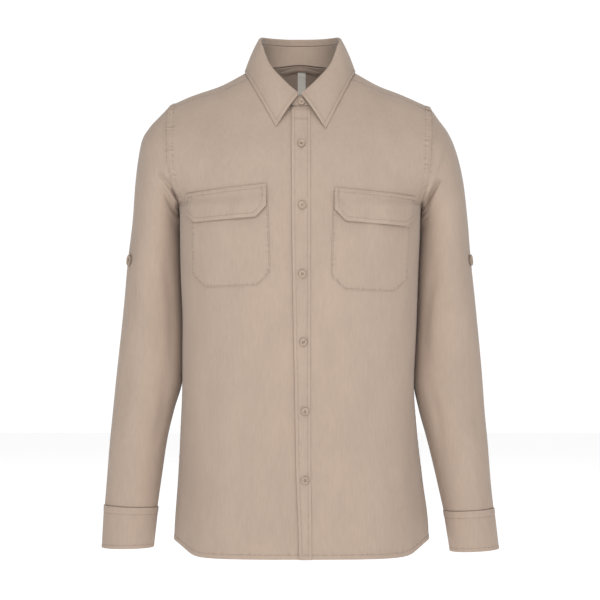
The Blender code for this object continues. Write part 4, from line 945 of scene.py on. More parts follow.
def cleared(points, ways, names, gap):
    """How far each point of a sheet's near side moves out to clear the pieces under it."""
    need = np.zeros(points.shape[:2])
    for row in range(points.shape[0]):
        for col in range(points.shape[1]):
            way = Vector(ways[row, col])
            start = Vector(points[row, col]) + way * PROBE
            for name in names:
                hit = BUILT[name].ray_cast(start, -way, 2 * PROBE)
                if hit[0] is not None:
                    need[row, col] = max(need[row, col], PROBE - hit[3] + gap)
    for blend in (np.max, np.mean, np.mean):
        wide = np.pad(need, 1, mode="edge")
        near = [wide[i:i + need.shape[0], j:j + need.shape[1]] for i in range(3) for j in range(3)]
        need = blend(near, axis=0)
    return need


def replace(piece, node):
    """Lets a fine piece stand for its solid by hiding the solid."""
    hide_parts(node)


# Painted shade, from 0 to 1, where the cloth's relief sinks in at seams, puckers and creases
def painted_groove_shade(relief):
    return np.clip(-relief / DARKEST_GROOVE, 0.0, 1.0)


# Body
def front_rows(side):
    """Across and place of a front's fine grid, from the hem up to the yoke seam."""
    level = float(place_at(side, 0.5, LEVEL_ABOVE_HEM_Z, 0.0, PLACE["front waist"]))
    shares = np.sin(np.pi / 2 * graded(235.0, 11.0, 1.1, 3.2, start=False))
    armpit = PLACE["front armpit"]
    low = spread(level, armpit, round((armpit - level) / 2.8))[:-1]
    foot = spread(armpit, NECK_FRONT, round((NECK_FRONT - armpit) / 1.7))
    top = neckline(spread(0.0, NECK_SEAM_ANGLE, 26))[1][1:]
    across, places = [], []
    start = centre_share(side, HEM_FRONT_Z)
    hem_across = start + (1 - start) * shares
    hem = hem_place(side, hem_across, True)
    for share in graded(36.0, 9.0, 1.1, 3.4, end=False)[:-1]:
        across.append(hem_across)
        places.append(hem + (level - hem) * share)
    for row in np.concatenate((low, foot, top)):
        if row <= NECK_FRONT + 0.01:
            start = centre_share(side, float(body_point(side, 0.0, row)[2]))
        else:
            turn = math.acos(min(1.0, (RIDGE - row) / (RIDGE - NECK_FRONT)))
            start = float(NECK_ACROSS * math.sin(turn))
        across.append(start + (1 - start) * shares)
        places.append(np.full(shares.shape, row))
    return np.array(across), np.array(places)


def add_front(side, word):
    across, places = front_rows(side)
    plain = body(side, across, places)
    armpit = int(np.argmin(np.abs(places[:, 0] - PLACE["front armpit"])))
    small = seam_relief(plain, plain[armpit:, -1], ARMHOLE_SEAM, 0.4 + side)
    small = small + seam_relief(plain, plain[0], HEM_SEAM, 1.1 * side)
    small = small + seam_relief(plain, plain[:armpit + 1, -1], SIDE_SEAM, 0.7 * side)
    drop = under_drop(plain[..., 0]) if side == RIGHT else 0.0
    relief = small + creased(plain, FRONT_CREASES) + waves(plain, 0.9) - drop
    piece = shell(f"front_{word}", lambda lift: body(side, across, places, lift + relief), WALL, painted_groove_shade(small))
    replace(piece, f"front_{word}")


def centre_share(side, z):
    """Where a front's free edge lies, past the centre line."""
    if side == RIGHT:
        return -UNDERLAP / FRONT_HALF_WIDTH
    return (float(PLACKET["right"](z)) + PLACKET_MARGIN) / FRONT_HALF_WIDTH


def back_half(side):
    shares = np.sin(np.pi / 2 * graded(245.0, 11.0, 1.2, 4.4, start=False))
    armpit = PLACE["back armpit"]
    level = float(place_at(side, 0.5, LEVEL_ABOVE_HEM_Z, PLACE["back waist"], BODY_PLACES[-1]))
    upper = BACK_SEAM + (armpit - BACK_SEAM) * graded(armpit - BACK_SEAM, 8.0, 1.2, 2.0, end=False)
    rows = np.concatenate((upper, spread(armpit, level, round((level - armpit) / 4.0))[1:]))
    across = np.broadcast_to(shares, (len(rows), len(shares)))
    places = np.broadcast_to(rows[:, None], across.shape)
    hem = hem_place(side, shares, False)
    steps = graded(40.0, 9.0, 1.1, 3.4, start=False)[1:]
    below = rows[-1] + (hem[None, :] - rows[-1]) * steps[:, None]
    below_across = np.broadcast_to(shares, below.shape)
    return np.concatenate((across, below_across)), np.concatenate((places, below)), len(upper) - 1


def add_back():
    halves = []
    for side in (RIGHT, LEFT):
        across, places, armpit = back_half(side)
        plain = body(side, across, places)
        small = seam_relief(plain, plain[:armpit + 1, -1], ARMHOLE_SEAM, 0.3 - side)
        small = small + seam_relief(plain, plain[-1], HEM_SEAM, 2.1 * side)
        small = small + seam_relief(plain, plain[armpit:, -1], SIDE_SEAM, 1.7 * side)
        small = small + seam_relief(plain, plain[0], YOKE_SEAM._replace(height=0.0, inside=0.0), side)
        relief = small + creased(plain, BACK_CREASES) + waves(plain, 2.3)
        halves.append((side, across, places, relief, painted_groove_shade(small)))

    def surface(lift):
        grids = [body(side, across, places, lift + relief) for side, across, places, relief, _ in halves]
        return np.concatenate((grids[0][:, ::-1], grids[1][:, 1:]), axis=1)

    dark = np.concatenate((halves[0][4][:, ::-1], halves[1][4][:, 1:]), axis=1)
    replace(shell("back", surface, WALL, dark), "back")


def yoke_half(side):
    """Across and place of half the yoke, whose rows run round the neck from the front to the back."""
    shares = graded(150.0, 10.0, 1.2, 3.4, start=False)
    first = graded(150.0, 6.0, 1.2, 3.6, end=False)
    angles = NECK_SEAM_ANGLE + (YOKE_BACK_ANGLE - NECK_SEAM_ANGLE) * first
    edges = FRONT_SEAM + (BACK_SEAM - FRONT_SEAM) * first
    start, place = neckline(angles)
    across = start[:, None] + (1 - start)[:, None] * shares
    places = place[:, None] + (edges - place)[:, None] * shares
    ends = np.sin(np.pi / 2 * spread(0, 1, 44))[::-1][1:]
    start, place = neckline(180 - (180 - YOKE_BACK_ANGLE) * ends)
    more_across = start[:, None] + (ends - start)[:, None] * shares
    more_places = place[:, None] + (BACK_SEAM - place)[:, None] * shares
    return np.concatenate((across, more_across)), np.concatenate((places, more_places)), len(first)


def add_yoke():
    halves = []
    for side in (RIGHT, LEFT):
        across, places, turn = yoke_half(side)
        plain = body(side, across, places)
        small = seam_relief(plain, plain[:turn, -1], ARMHOLE_SEAM, 1.9 + side)
        small = small + seam_relief(plain, plain[0], YOKE_SEAM, 0.6 * side)
        small = small + seam_relief(plain, plain[turn - 1:, -1], YOKE_SEAM, 1.5 * side)
        relief = small + waves(plain, 1.4)
        halves.append((side, across, places, relief, painted_groove_shade(small)))

    def surface(lift):
        grids = [body(side, across, places, lift + relief) for side, across, places, relief, _ in halves]
        return np.concatenate((grids[0], grids[1][::-1][1:]), axis=0)

    dark = np.concatenate((halves[0][4], halves[1][4][::-1][1:]), axis=0)
    replace(shell("yoke", surface, WALL, dark), "yoke")


# Sleeves
def armpit_relief(points, folds):
    """How the folds into the armpits move the cloth, as seen from the front or the back."""
    lift = np.zeros(points.shape[:-1])
    for fold in folds:
        run = np.array([fold.x1 - fold.x0, fold.z1 - fold.z0])
        length = math.hypot(*run)
        from_start = points[..., (0, 2)] - np.array([fold.x0, fold.z0])
        share = np.clip(from_start @ run / length ** 2, 0.0, 1.0)
        hand = 1.0 if fold.x1 > fold.x0 else -1.0
        above = (from_start[..., 1] * run[0] - from_start[..., 0] * run[1]) / length * hand
        past = np.linalg.norm(from_start - share[..., None] * run, axis=-1)
        width = fold.width0 + (fold.width1 - fold.width0) * share
        depth = fold.depth0 + (fold.depth1 - fold.depth0) * share
        ends = smooth(share / 0.12) * np.exp(-np.maximum(past - np.abs(above), 0.0) / 4.0)
        sunk = np.where(above > 0, np.exp(-(above / width) ** 2), np.exp(-(above / 1.3) ** 2))
        stands = np.exp(-((above + 4.0) / 3.5) ** 2)
        lift += (fold.lip * stands - depth * sunk) * ends
    return lift


def add_sleeve(side, word):
    angles = spread(-180.0, 180.0, 176)[:-1]
    rings = np.concatenate((
        [0.0, 0.04, 0.09, 0.15, 0.22, 0.3],
        spread(0.4, 2.0, 20),
        spread(2.04, 5.6, 72),
        spread(5.72, 13.6, 84),
        [13.7, 13.8, 13.88, 13.94, 14.0],
    ))
    angle, ring = angles[None, :], rings[:, None]
    plain = sleeve(side, angle, ring)
    forward = smooth(0.5 + np.sin(np.radians(angle)) / 0.5)
    small = seam_relief(plain, np.concatenate((plain[0], plain[0, :1])), SLEEVE_HEAD_SEAM, 0.8 * side)
    from_seam = np.abs((angle - INNER_SEAM_ANGLE) * math.radians(1) * INNER_SEAM_RADIUS)
    small = small + line_relief(from_seam, ring * 45.0, INNER_SLEEVE_SEAM, side)
    large = creased(plain, SLEEVE_FRONT_CREASES) * forward + creased(plain, SLEEVE_BACK_CREASES) * (1 - forward)
    ways = unit(sleeve(side, angle, ring, 1.0) - plain)
    folds = armpit_relief(plain, ARMPIT_FOLDS) * smooth(-ways[..., 1] / 0.55)
    folds = folds + armpit_relief(plain, ARMPIT_FOLDS_BACK) * smooth(ways[..., 1] / 0.55)
    inner_side = smooth((np.abs((angle + 180.0) % 360.0 - 180.0) - 140.0) / 30.0)
    fill = ARMPIT_FILL * np.exp(-((plain[..., 2] - ARMPIT_FILL_Z) / 15.0) ** 2) * inner_side
    relief = small + large + fill + folds * smooth(ring / 0.5) + waves(plain, 0.4 + side) * smooth(ring / 0.6)
    piece = shell(f"sleeve_{word}", lambda lift: sleeve(side, angle, ring, lift + relief), WALL,
                  painted_groove_shade(small), closed=True)
    replace(piece, f"sleeve_{word}")


def line_relief(distance, along, seam, phase):
    """A flat seam whose two stitched edges lie either side of a line."""
    distance, along = np.broadcast_arrays(distance, along)
    lift = seam.height * (1 - smooth((distance - seam.inside + 0.5) / 1.2))
    lift = lift - seam.pull * np.exp(-((distance - seam.inside) / 0.8) ** 2)
    window = np.exp(-(distance / (seam.inside + seam.reach)) ** 2)
    return lift + seam.pucker * ripple(along, seam.pitch, phase) * window


def add_cuff(side, word):
    top = SLEEVE_ROWS[side][-1]
    foot = CUFF_ROWS[side]
    angles = CUFF_START + (360 + CUFF_OVERLAP) * graded(290.0, 8.0, 1.4, 2.6)
    shares = CUFF_SHARES[0] + (1 - CUFF_SHARES[0]) * graded(64.0, 14.0, 1.1, 3.0)
    under = 1 - smooth((angles - CUFF_START - CUFF_OVERLAP) / CUFF_UNDER_FADE)
    out = CUFF_PROUD - under * (STIFF_WALL + SEAM)
    centre, normals = [], []
    for share in shares:
        section = {name: getattr(top, name) * (1 - share) + getattr(foot, name) * share for name in top._fields}
        round_it = frame_point(section, angles + 1.0) - frame_point(section, angles - 1.0)
        axis = np.array([foot.outer_x - top.outer_x, foot.middle_y - top.middle_y, foot.outer_z - top.outer_z])
        normals.append(unit(np.cross(round_it, axis)) * side)
        centre.append(frame_point(section, angles) + normals[-1] * out[:, None])
    centre, normals = np.array(centre), np.array(normals)
    small = seam_relief(centre, centre[0], CUFF_TOP_SEAM, 0.5 * side)
    small = small + seam_relief(centre, centre[-1], CUFF_FOOT_SEAM, 1.5 * side)
    small = small + seam_relief(centre, centre[:, -1], CUFF_FOOT_SEAM, 0.2)
    relief = small + 0.35 * waves(centre, 2.0 * side)
    piece = shell(f"cuff_{word}", lambda lift: centre + normals * (lift + relief)[..., None], COLLAR_WALL,
                  painted_groove_shade(small), round_by=0.6)
    replace(piece, f"cuff_{word}")


def add_vent(side, word):
    angle = np.array(VENT_ANGLES[0]) + (VENT_ANGLES[1] - VENT_ANGLES[0]) * graded(22.0, 6.0, 1.0, 2.0)[None, :]
    ring = VENT_RINGS[0] + (VENT_RINGS[1] - VENT_RINGS[0]) * graded(110.0, 6.0, 1.0, 3.2)[:, None]
    plain = sleeve(side, angle, ring)
    edge = np.concatenate((plain[0], plain[1:, -1], plain[-1, ::-1], plain[::-1, 0]))
    small = seam_relief(plain, edge, POCKET_SEAM, side)
    under = sleeve(side, angle, ring, 1.0) - plain
    lift_over = cleared(plain, unit(under), [f"sleeve_{word}"], 0.3)
    relief = small + lift_over
    piece = shell(f"sleeve_placket_{word}", lambda lift: sleeve(side, angle, ring, 1.0 + lift + relief), 0.9,
                  painted_groove_shade(small))
    replace(piece, f"sleeve_placket_{word}")


# Collar
def collar_angles():
    first = FALL_START_ANGLE + (NECK_SEAM_ANGLE - FALL_START_ANGLE) * graded(110.0, 12.0, 1.2, 2.4, end=False)
    return np.concatenate((first, spread(NECK_SEAM_ANGLE, 180.0, 70)[1:]))


def around(grids):
    """Joins the right and left halves of a grid whose columns run round the neck."""
    return np.concatenate((grids[0], grids[1][:, ::-1][:, 1:]), axis=1)


def stand_half(side, lift, rises):
    angles = np.concatenate((STAND_END_ANGLE * spread(-1, 1, 16), collar_angles()[10:]))
    angles = np.unique(angles)
    mirrored = np.abs(angles)
    out = np.full(angles.shape, float(lift))
    if side == RIGHT:
        out -= STAND_UNDER_DROP * (1 - smooth((angles - STAND_END_ANGLE) / STAND_UNDER_FADE))
    points = stand_point(side, mirrored[None, :], rises[:, None])
    points[..., 0] *= np.where(angles < 0, -1.0, 1.0)
    away = outward(points, side, mirrored)
    away[..., 0] *= np.where(angles < 0, -1.0, 1.0)
    return points + away[None] * out[..., None]


def add_stand():
    rises = graded(34.0, 6.0, 1.1, 2.4)

    def plain(lift):
        return around([stand_half(side, lift, rises) for side in (RIGHT, LEFT)])

    centre = plain(0.0)
    ways = unit(plain(1.0) - centre)
    small = seam_relief(centre, centre[0], STAND_SEAM, 0.3) + seam_relief(centre, centre[-1], STAND_SEAM, 1.3)
    relief = small + 0.3 * waves(centre, 0.2)
    piece = shell("collar_stand", lambda lift: centre + ways * (lift + relief)[..., None], COLLAR_WALL,
                  painted_groove_shade(small), round_by=0.5)
    replace(piece, "collar_stand")


def add_fall():
    angles = collar_angles()
    steps = np.concatenate((spread(0.0, 1.0, 5), spread(1.0, 2.0, 12)[1:], 2 + graded(60.0, 9.0, 1.1, 2.4, start=False)[1:]))

    edges = {side: body(side, *leaf_edge(side, angles), STIFF_WALL + SEAM) for side in (RIGHT, LEFT)}

    def plain(lift):
        halves = []
        for side in (RIGHT, LEFT):
            halves.append(np.array([fall_profile(side, angles, edges[side], step, lift) for step in steps]))
        return around(halves)

    centre = plain(0.0)
    ways = unit(plain(1.0) - centre)
    edge = np.concatenate((centre[::-1, 0][:-1], centre[0:1, 0]))
    leaf = int(np.searchsorted(steps, 2.0))
    small = seam_relief(centre, centre[-1], COLLAR_SEAM, 0.5)
    for column, phase in ((0, 0.9), (-1, 1.7)):
        small = small + seam_relief(centre, centre[leaf:, column], COLLAR_SEAM, phase)
    small[:leaf] *= smooth(spread(0, 1, leaf)[:-1])[:, None]
    relief = small + 0.35 * waves(centre, 0.7)
    near = centre - ways * COLLAR_WALL
    lift_over = cleared(near, ways, ["front_right", "front_left", "placket", "yoke"], 0.35)
    lift_over[:leaf + 3] = 0.0
    relief = relief + lift_over
    piece = shell("collar_fall", lambda lift: centre + ways * (lift + relief)[..., None], COLLAR_WALL,
                  painted_groove_shade(small), round_by=0.6)
    replace(piece, "collar_fall")


# Pockets, flaps and placket
def patch_points(patch, rows, cols):
    """Points of a patch with two cut corners, as seen from the front."""
    corners = [np.array(corner, float) for corner in patch[:4]]
    width = math.dist(patch.foot_inner, patch.foot_outer)
    height = math.dist(patch.top_inner, patch.foot_inner)
    near_end = np.minimum(cols, 1 - cols)
    foot = 1 - patch.cut / height * np.clip(1 - near_end * width / patch.cut, 0, 1)
    top = corners[0] + (corners[1] - corners[0]) * cols[:, None]
    bottom = corners[3] + (corners[2] - corners[3]) * cols[:, None]
    share = rows[:, None] * foot[None, :]
    return top[None] + (bottom - top)[None] * share[..., None]


def add_patch(name, side, patch, wall, foot_lift, under, seam, top_seam):
    width = math.dist(patch.top_inner, patch.top_outer)
    height = math.dist(patch.top_inner, patch.foot_inner)
    rows = graded(height, 9.0, 0.9, 2.4)
    cols = graded(width, 9.0, 0.9, 2.4)
    spots = patch_points(patch, rows, cols)
    across, places = front_place(side, spots[..., 0], spots[..., 1])
    plain = body(side, across, places)
    ways = unit(body(side, across, places, 1.0) - plain)
    sides = np.concatenate((plain[:, 0], plain[-1, 1:-1], plain[::-1, -1]))
    small = seam_relief(plain, sides, seam, side + foot_lift)
    small = small + seam_relief(plain, plain[0], top_seam, 0.4 * side)
    down = rows[:, None] * np.ones_like(cols)[None, :]
    droop = foot_lift * smooth((down - 0.12) / 0.7)
    droop = droop * (1 - OUTER_DROOP_LOSS * cols[None, :] ** 4)
    droop = droop * (0.75 + 0.3 * np.sin(cols[None, :] * 9.0 + side) + 0.15 * np.sin(cols[None, :] * 23.0))
    base = creased(plain, FRONT_CREASES) + waves(plain, 0.9)
    over = cleared(plain + ways * base[..., None], ways, under, 0.25)
    relief = base + over + droop + small + wall
    piece = shell(name, lambda lift: plain + ways * (lift + relief)[..., None], wall, painted_groove_shade(small), round_by=0.35)
    replace(piece, name)


def add_placket():
    zs = PLACKET_FOOT_Z + (PLACKET_TIP_Z - PLACKET_FOOT_Z) * graded(678.0, 8.0, 1.2, 3.4)
    shares = graded(29.0, 7.0, 0.8, 1.6)
    left = PLACKET["left"](zs)
    right = PLACKET["right"](zs)
    x = right[:, None] + (left - right)[:, None] * shares[None, :]
    across, places = front_place(LEFT, x, np.broadcast_to(zs[:, None], x.shape))
    plain = body(LEFT, across, places)
    ways = unit(body(LEFT, across, places, 1.0) - plain)
    small = seam_relief(plain, plain[:, 0], PLACKET_SEAM, 0.3)
    small = small + seam_relief(plain, plain[:, -1], PLACKET_SEAM, 1.3)
    small = small + seam_relief(plain, plain[0], HEM_SEAM, 0.8)
    crossing = np.abs(plain[..., 2] - PLACKET_CROSS_Z)
    small = small - 0.35 * np.exp(-(crossing / 0.9) ** 2)
    base = creased(plain, FRONT_CREASES) + waves(plain, 0.9)
    over = cleared(plain + ways * base[..., None], ways, ["front_left", "front_right"], 0.2)
    relief = base + over + small + PLACKET_WALL
    piece = shell("placket", lambda lift: plain + ways * (lift + relief)[..., None], PLACKET_WALL, painted_groove_shade(small),
                  round_by=0.4)
    replace(piece, "placket")


def add_neck_strips():
    offset = WALL + 0.35
    for strip in NECK_STRIPS:
        middle = 0.0 if strip.foot < strip.width else LABEL_MIDDLE_X
        offset += strip.wall
        thickness = strip.wall
        downs = graded(strip.length, 2.4, 0.5, 1.2)
        overs = graded(strip.width, 2.4, 0.6, 1.3)
        widths = strip.width + (strip.foot - strip.width) * downs
        x = middle + widths[:, None] * (overs[None, :] - 0.5)
        start = NECK_BACK + STRIP_TOP + LABEL_START * (strip.name != "hanger_loop")
        place = np.broadcast_to((start + strip.length * downs)[:, None], x.shape)
        share = np.abs(x) / RIDGE_ROW.right
        near = body(LEFT, share, place)
        inward = body(LEFT, share, place, -1.0) - near
        flip = np.where(x < 0, -1.0, 1.0)
        near[..., 0] *= flip
        inward[..., 0] *= flip
        edge = np.concatenate((near[0], near[1:, -1], near[-1, ::-1], near[::-1, 0]))
        small = seam_relief(near, edge, LABEL_SEAM)
        bulge = 0.9 * np.sin(np.pi * overs)[None, :] * np.sin(np.pi * downs)[:, None] * (strip.name == "hanger_loop")
        curl = 1.2 * smooth((downs[:, None] - 0.55) / 0.45) * (strip.name == "care_label")
        out = offset + bulge + curl + small

        def surface(lift, near=near, inward=inward, out=out):
            return near + inward * (out + lift)[..., None]

        material = "cloth" if strip.name == "hanger_loop" else "label"
        piece = shell(strip.name, surface, thickness, material=material, round_by=0.15)
        replace(piece, strip.name)
        offset += 0.45


# Buttons
def fine_button(name, centre, normal, diameter):
    """A turned four-hole button with a raised rim and its crossed threads."""
    radius = diameter / 2
    normal = unit(np.asarray(normal, float))
    side = unit(np.cross(normal, np.array([0.0, 0.3, 1.0])))
    up = np.cross(side, normal)
    height = BUTTON_THICKNESS * diameter / BUTTON_DIAMETER
    shares = np.concatenate((spread(0.0, 1.0, BUTTON_RADII)[1:], [1.0, 0.86]))
    turns = np.linspace(0.0, 2 * np.pi, BUTTON_SPOKES, endpoint=False)
    across = shares[:, None] * np.cos(turns)
    upward = shares[:, None] * np.sin(turns)
    level = np.interp(shares, [row[0] for row in BUTTON_PROFILE], [row[1] for row in BUTTON_PROFILE]) * height
    level[-2:] = (0.3 * height, 0.0)
    level = np.repeat(level[:, None], BUTTON_SPOKES, axis=1)
    hole = np.hypot(np.abs(across) - HOLE_ACROSS, np.abs(upward) - HOLE_ACROSS)
    level[:-2] -= HOLE_DEPTH * (1 - smooth((hole[:-2] - HOLE_RADIUS + 0.03) / 0.04))
    points = centre + (across * radius)[..., None] * side + (upward * radius)[..., None] * up + level[..., None] * normal
    rows, cols = points.shape[:2]
    number = np.arange(rows * cols).reshape(rows, cols)
    number = np.concatenate((number, number[:, :1]), axis=1)
    faces = np.stack((number[:-1, :-1], number[:-1, 1:], number[1:, 1:], number[1:, :-1]), axis=-1).reshape(-1, 4).tolist()
    points = np.concatenate((points.reshape(-1, 3), [centre + normal * 0.56 * height, centre]))
    top = rows * cols
    last = (rows - 1) * cols
    faces += [(top, number[0, col + 1], number[0, col]) for col in range(cols)]
    faces += [(top + 1, last + col, last + (col + 1) % cols) for col in range(cols)]
    # Painted shade on the button's outer rim and inside its holes
    rim = 0.7 * smooth((shares - 0.9) / 0.08)[:, None]
    inside = 1 - smooth((hole - HOLE_RADIUS) / 0.04)
    shade = np.concatenate((np.maximum(rim, inside).ravel(), [0.0, 0.0]))
    piece = add_mesh(name, points, faces, "button", shade)
    replace(piece, name)
    threads = []
    for first, second in (((-1, -1), (1, 1)), ((-1, 1), (1, -1))):
        ends = []
        for spot in (first, second):
            flat_spot = (side * spot[0] + up * spot[1]) * HOLE_ACROSS * radius
            ends.append(centre + flat_spot + normal * 0.5 * height)
        threads.append((ends[0], ends[1], normal))
    return threads


def seat(centre, normal, diameter, names):
    """Where a button's back lies when it just clears the cloth under it."""
    normal = unit(np.asarray(normal, float))
    side = unit(np.cross(normal, np.array([0.0, 0.3, 1.0])))
    up = np.cross(side, normal)
    proud = -PROBE
    for share in (0.0, 0.6, 0.95):
        for turn in np.linspace(0, 2 * math.pi, 12, endpoint=False):
            spoke = side * math.cos(turn) + up * math.sin(turn)
            start = centre + spoke * share * diameter / 2 + normal * PROBE
            for name in names:
                hit = BUILT[name].ray_cast(Vector(start), Vector(-normal), 2 * PROBE)
                if hit[0] is not None:
                    proud = max(proud, PROBE - hit[3])
    return centre + normal * (proud + 0.1)


def add_buttons():
    threads = []
    for number, (x, z) in enumerate(FRONT_BUTTONS, 1):
        low = on_front(LEFT, x, z, 0.0)
        normal = on_front(LEFT, x, z, 1.0) - low
        centre = seat(low, normal, BUTTON_DIAMETER, ["placket", "front_left"])
        threads += fine_button(f"button_front_{number}", centre, normal, BUTTON_DIAMETER)
    foot, middle, top = (stand_half(LEFT, 0.0, np.array([0.0, 0.5, 1.0]))[:, 8])
    away = unit(np.cross(np.array([1.0, 0.0, 0.0]), top - foot))
    centre = middle + np.array([STAND_BUTTON_ACROSS, 0.0, 0.0]) - unit(top - foot) * STAND_BUTTON_DROP
    centre = seat(centre, away, STAND_BUTTON_DIAMETER, ["collar_stand", "placket"])
    threads += fine_button("button_stand", centre, away, STAND_BUTTON_DIAMETER)
    for side, word in ((RIGHT, "right"), (LEFT, "left")):
        low = sleeve(side, SLEEVE_BUTTON_ANGLE[side], SLEEVE_BUTTON_RING, 0.0)
        normal = sleeve(side, SLEEVE_BUTTON_ANGLE[side], SLEEVE_BUTTON_RING, 1.0) - low
        centre = seat(low, normal, SLEEVE_BUTTON_DIAMETER, [f"sleeve_{word}"])
        threads += fine_button(f"button_sleeve_{word}", centre, normal, SLEEVE_BUTTON_DIAMETER)
        cuff = PARTS[f"cuff_{word}"]
        row, col = cuff.shape[0] // 2, cuff.shape[1] - 9
        low = cuff[row, col]
        normal = np.cross(cuff[row, col + 3] - cuff[row, col - 3], cuff[row + 3, col] - cuff[row - 3, col]) * side
        centre = seat(low, normal, CUFF_BUTTON_DIAMETER, [f"cuff_{word}"])
        threads += fine_button(f"button_cuff_{word}", centre, normal, CUFF_BUTTON_DIAMETER)
    add_threads("button_threads", threads, THREAD_RADIUS * 2, 0.9)


# Threads
def add_threads(name, threads, width, height):
    """Short threads from one point to another, each low at its ends and raised in its middle."""
    starts = np.array([thread[0] for thread in threads])
    ends = np.array([thread[1] for thread in threads])
    normals = unit(np.array([thread[2] for thread in threads]))
    along = unit(ends - starts)
    aside = unit(np.cross(along, normals)) * width / 2
    stations = []
    for share, rise, narrow in ((0.0, -STITCH_SINK, 0.5), (0.3, height, 1.0), (0.7, height, 1.0), (1.0, -STITCH_SINK, 0.5)):
        spot = starts + (ends - starts) * share + normals * (rise - width / 2)
        stations.append(np.stack((spot + aside * narrow, spot + normals * width / 2, spot - aside * narrow,
                                  spot - normals * width / 2), axis=1))
    points = np.stack(stations, axis=1).reshape(-1, 3)
    faces = []
    for first in range(0, len(points), 16):
        for ring in range(0, 12, 4):
            for side in range(4):
                after = (side + 1) % 4
                low = first + ring
                faces.append((low + side, low + after, low + 4 + after, low + 4 + side))
        faces.append((first + 3, first + 2, first + 1, first))
        faces.append((first + 12, first + 13, first + 14, first + 15))
    return add_mesh(name, points, faces, "thread")


def inset(edge, inner, distance):
    """A line that lies inside a piece's edge by a distance along the cloth."""
    along = unit(np.gradient(edge, axis=0))
    inward = inner - edge
    inward = inward - (inward * along).sum(-1, keepdims=True) * along
    return edge + unit(inward) * distance


def stitched(piece, line, skip=()):
    """Stitches along a line on a piece's outside. skip holds other edges to keep clear of, with distances."""
    spots = resampled(line, STITCH_LENGTH + STITCH_GAP)
    threads = []
    share = STITCH_LENGTH / (STITCH_LENGTH + STITCH_GAP)
    keep = np.ones(len(spots), bool)
    for edge, distance in skip:
        keep &= near_line(spots, edge)[0] > distance
    for index in np.nonzero(keep[:-1])[0]:
        start = spots[index]
        end = start + (spots[index + 1] - start) * share
        on_start = BUILT[piece].find_nearest(Vector(start))
        on_end = BUILT[piece].find_nearest(Vector(end))
        if on_start[0] is None or on_end[0] is None:
            continue
        normal = np.array(on_start[1])
        threads.append((np.array(on_start[0]), np.array(on_end[0]), normal * outside(piece)))
    return threads


def outside(piece):
    """1 where the piece's grid faces out of the cloth, and -1 where it faces in."""
    if piece not in FACING:
        grid = PARTS[piece]
        row, col = grid.shape[0] // 2, grid.shape[1] // 2
        normal = np.array(BUILT[piece].find_nearest(Vector(grid[row, col]))[1])
        FACING[piece] = 1.0 if normal @ OUTWARD[piece](grid[row, col]) > 0 else -1.0
    return FACING[piece]


FACING = {}
FORWARD = np.array([0.0, -1.0, 0.0])
OUTWARD = {}
for _name in ("front_right", "front_left", "placket", "pocket_right", "pocket_left", "flap_right", "flap_left"):
    OUTWARD[_name] = lambda point: FORWARD
for _name in ("back", "yoke", "collar_stand", "collar_fall"):
    OUTWARD[_name] = lambda point: -FORWARD
for _name, _side in (("right", RIGHT), ("left", LEFT)):
    OUTWARD["sleeve_" + _name] = lambda point, side=_side: np.array([side, 0.0, 0.5])
    OUTWARD["cuff_" + _name] = lambda point, side=_side: point - np.array([side * 266.0, -15.0, point[2]])
    OUTWARD["sleeve_placket_" + _name] = lambda point: -FORWARD


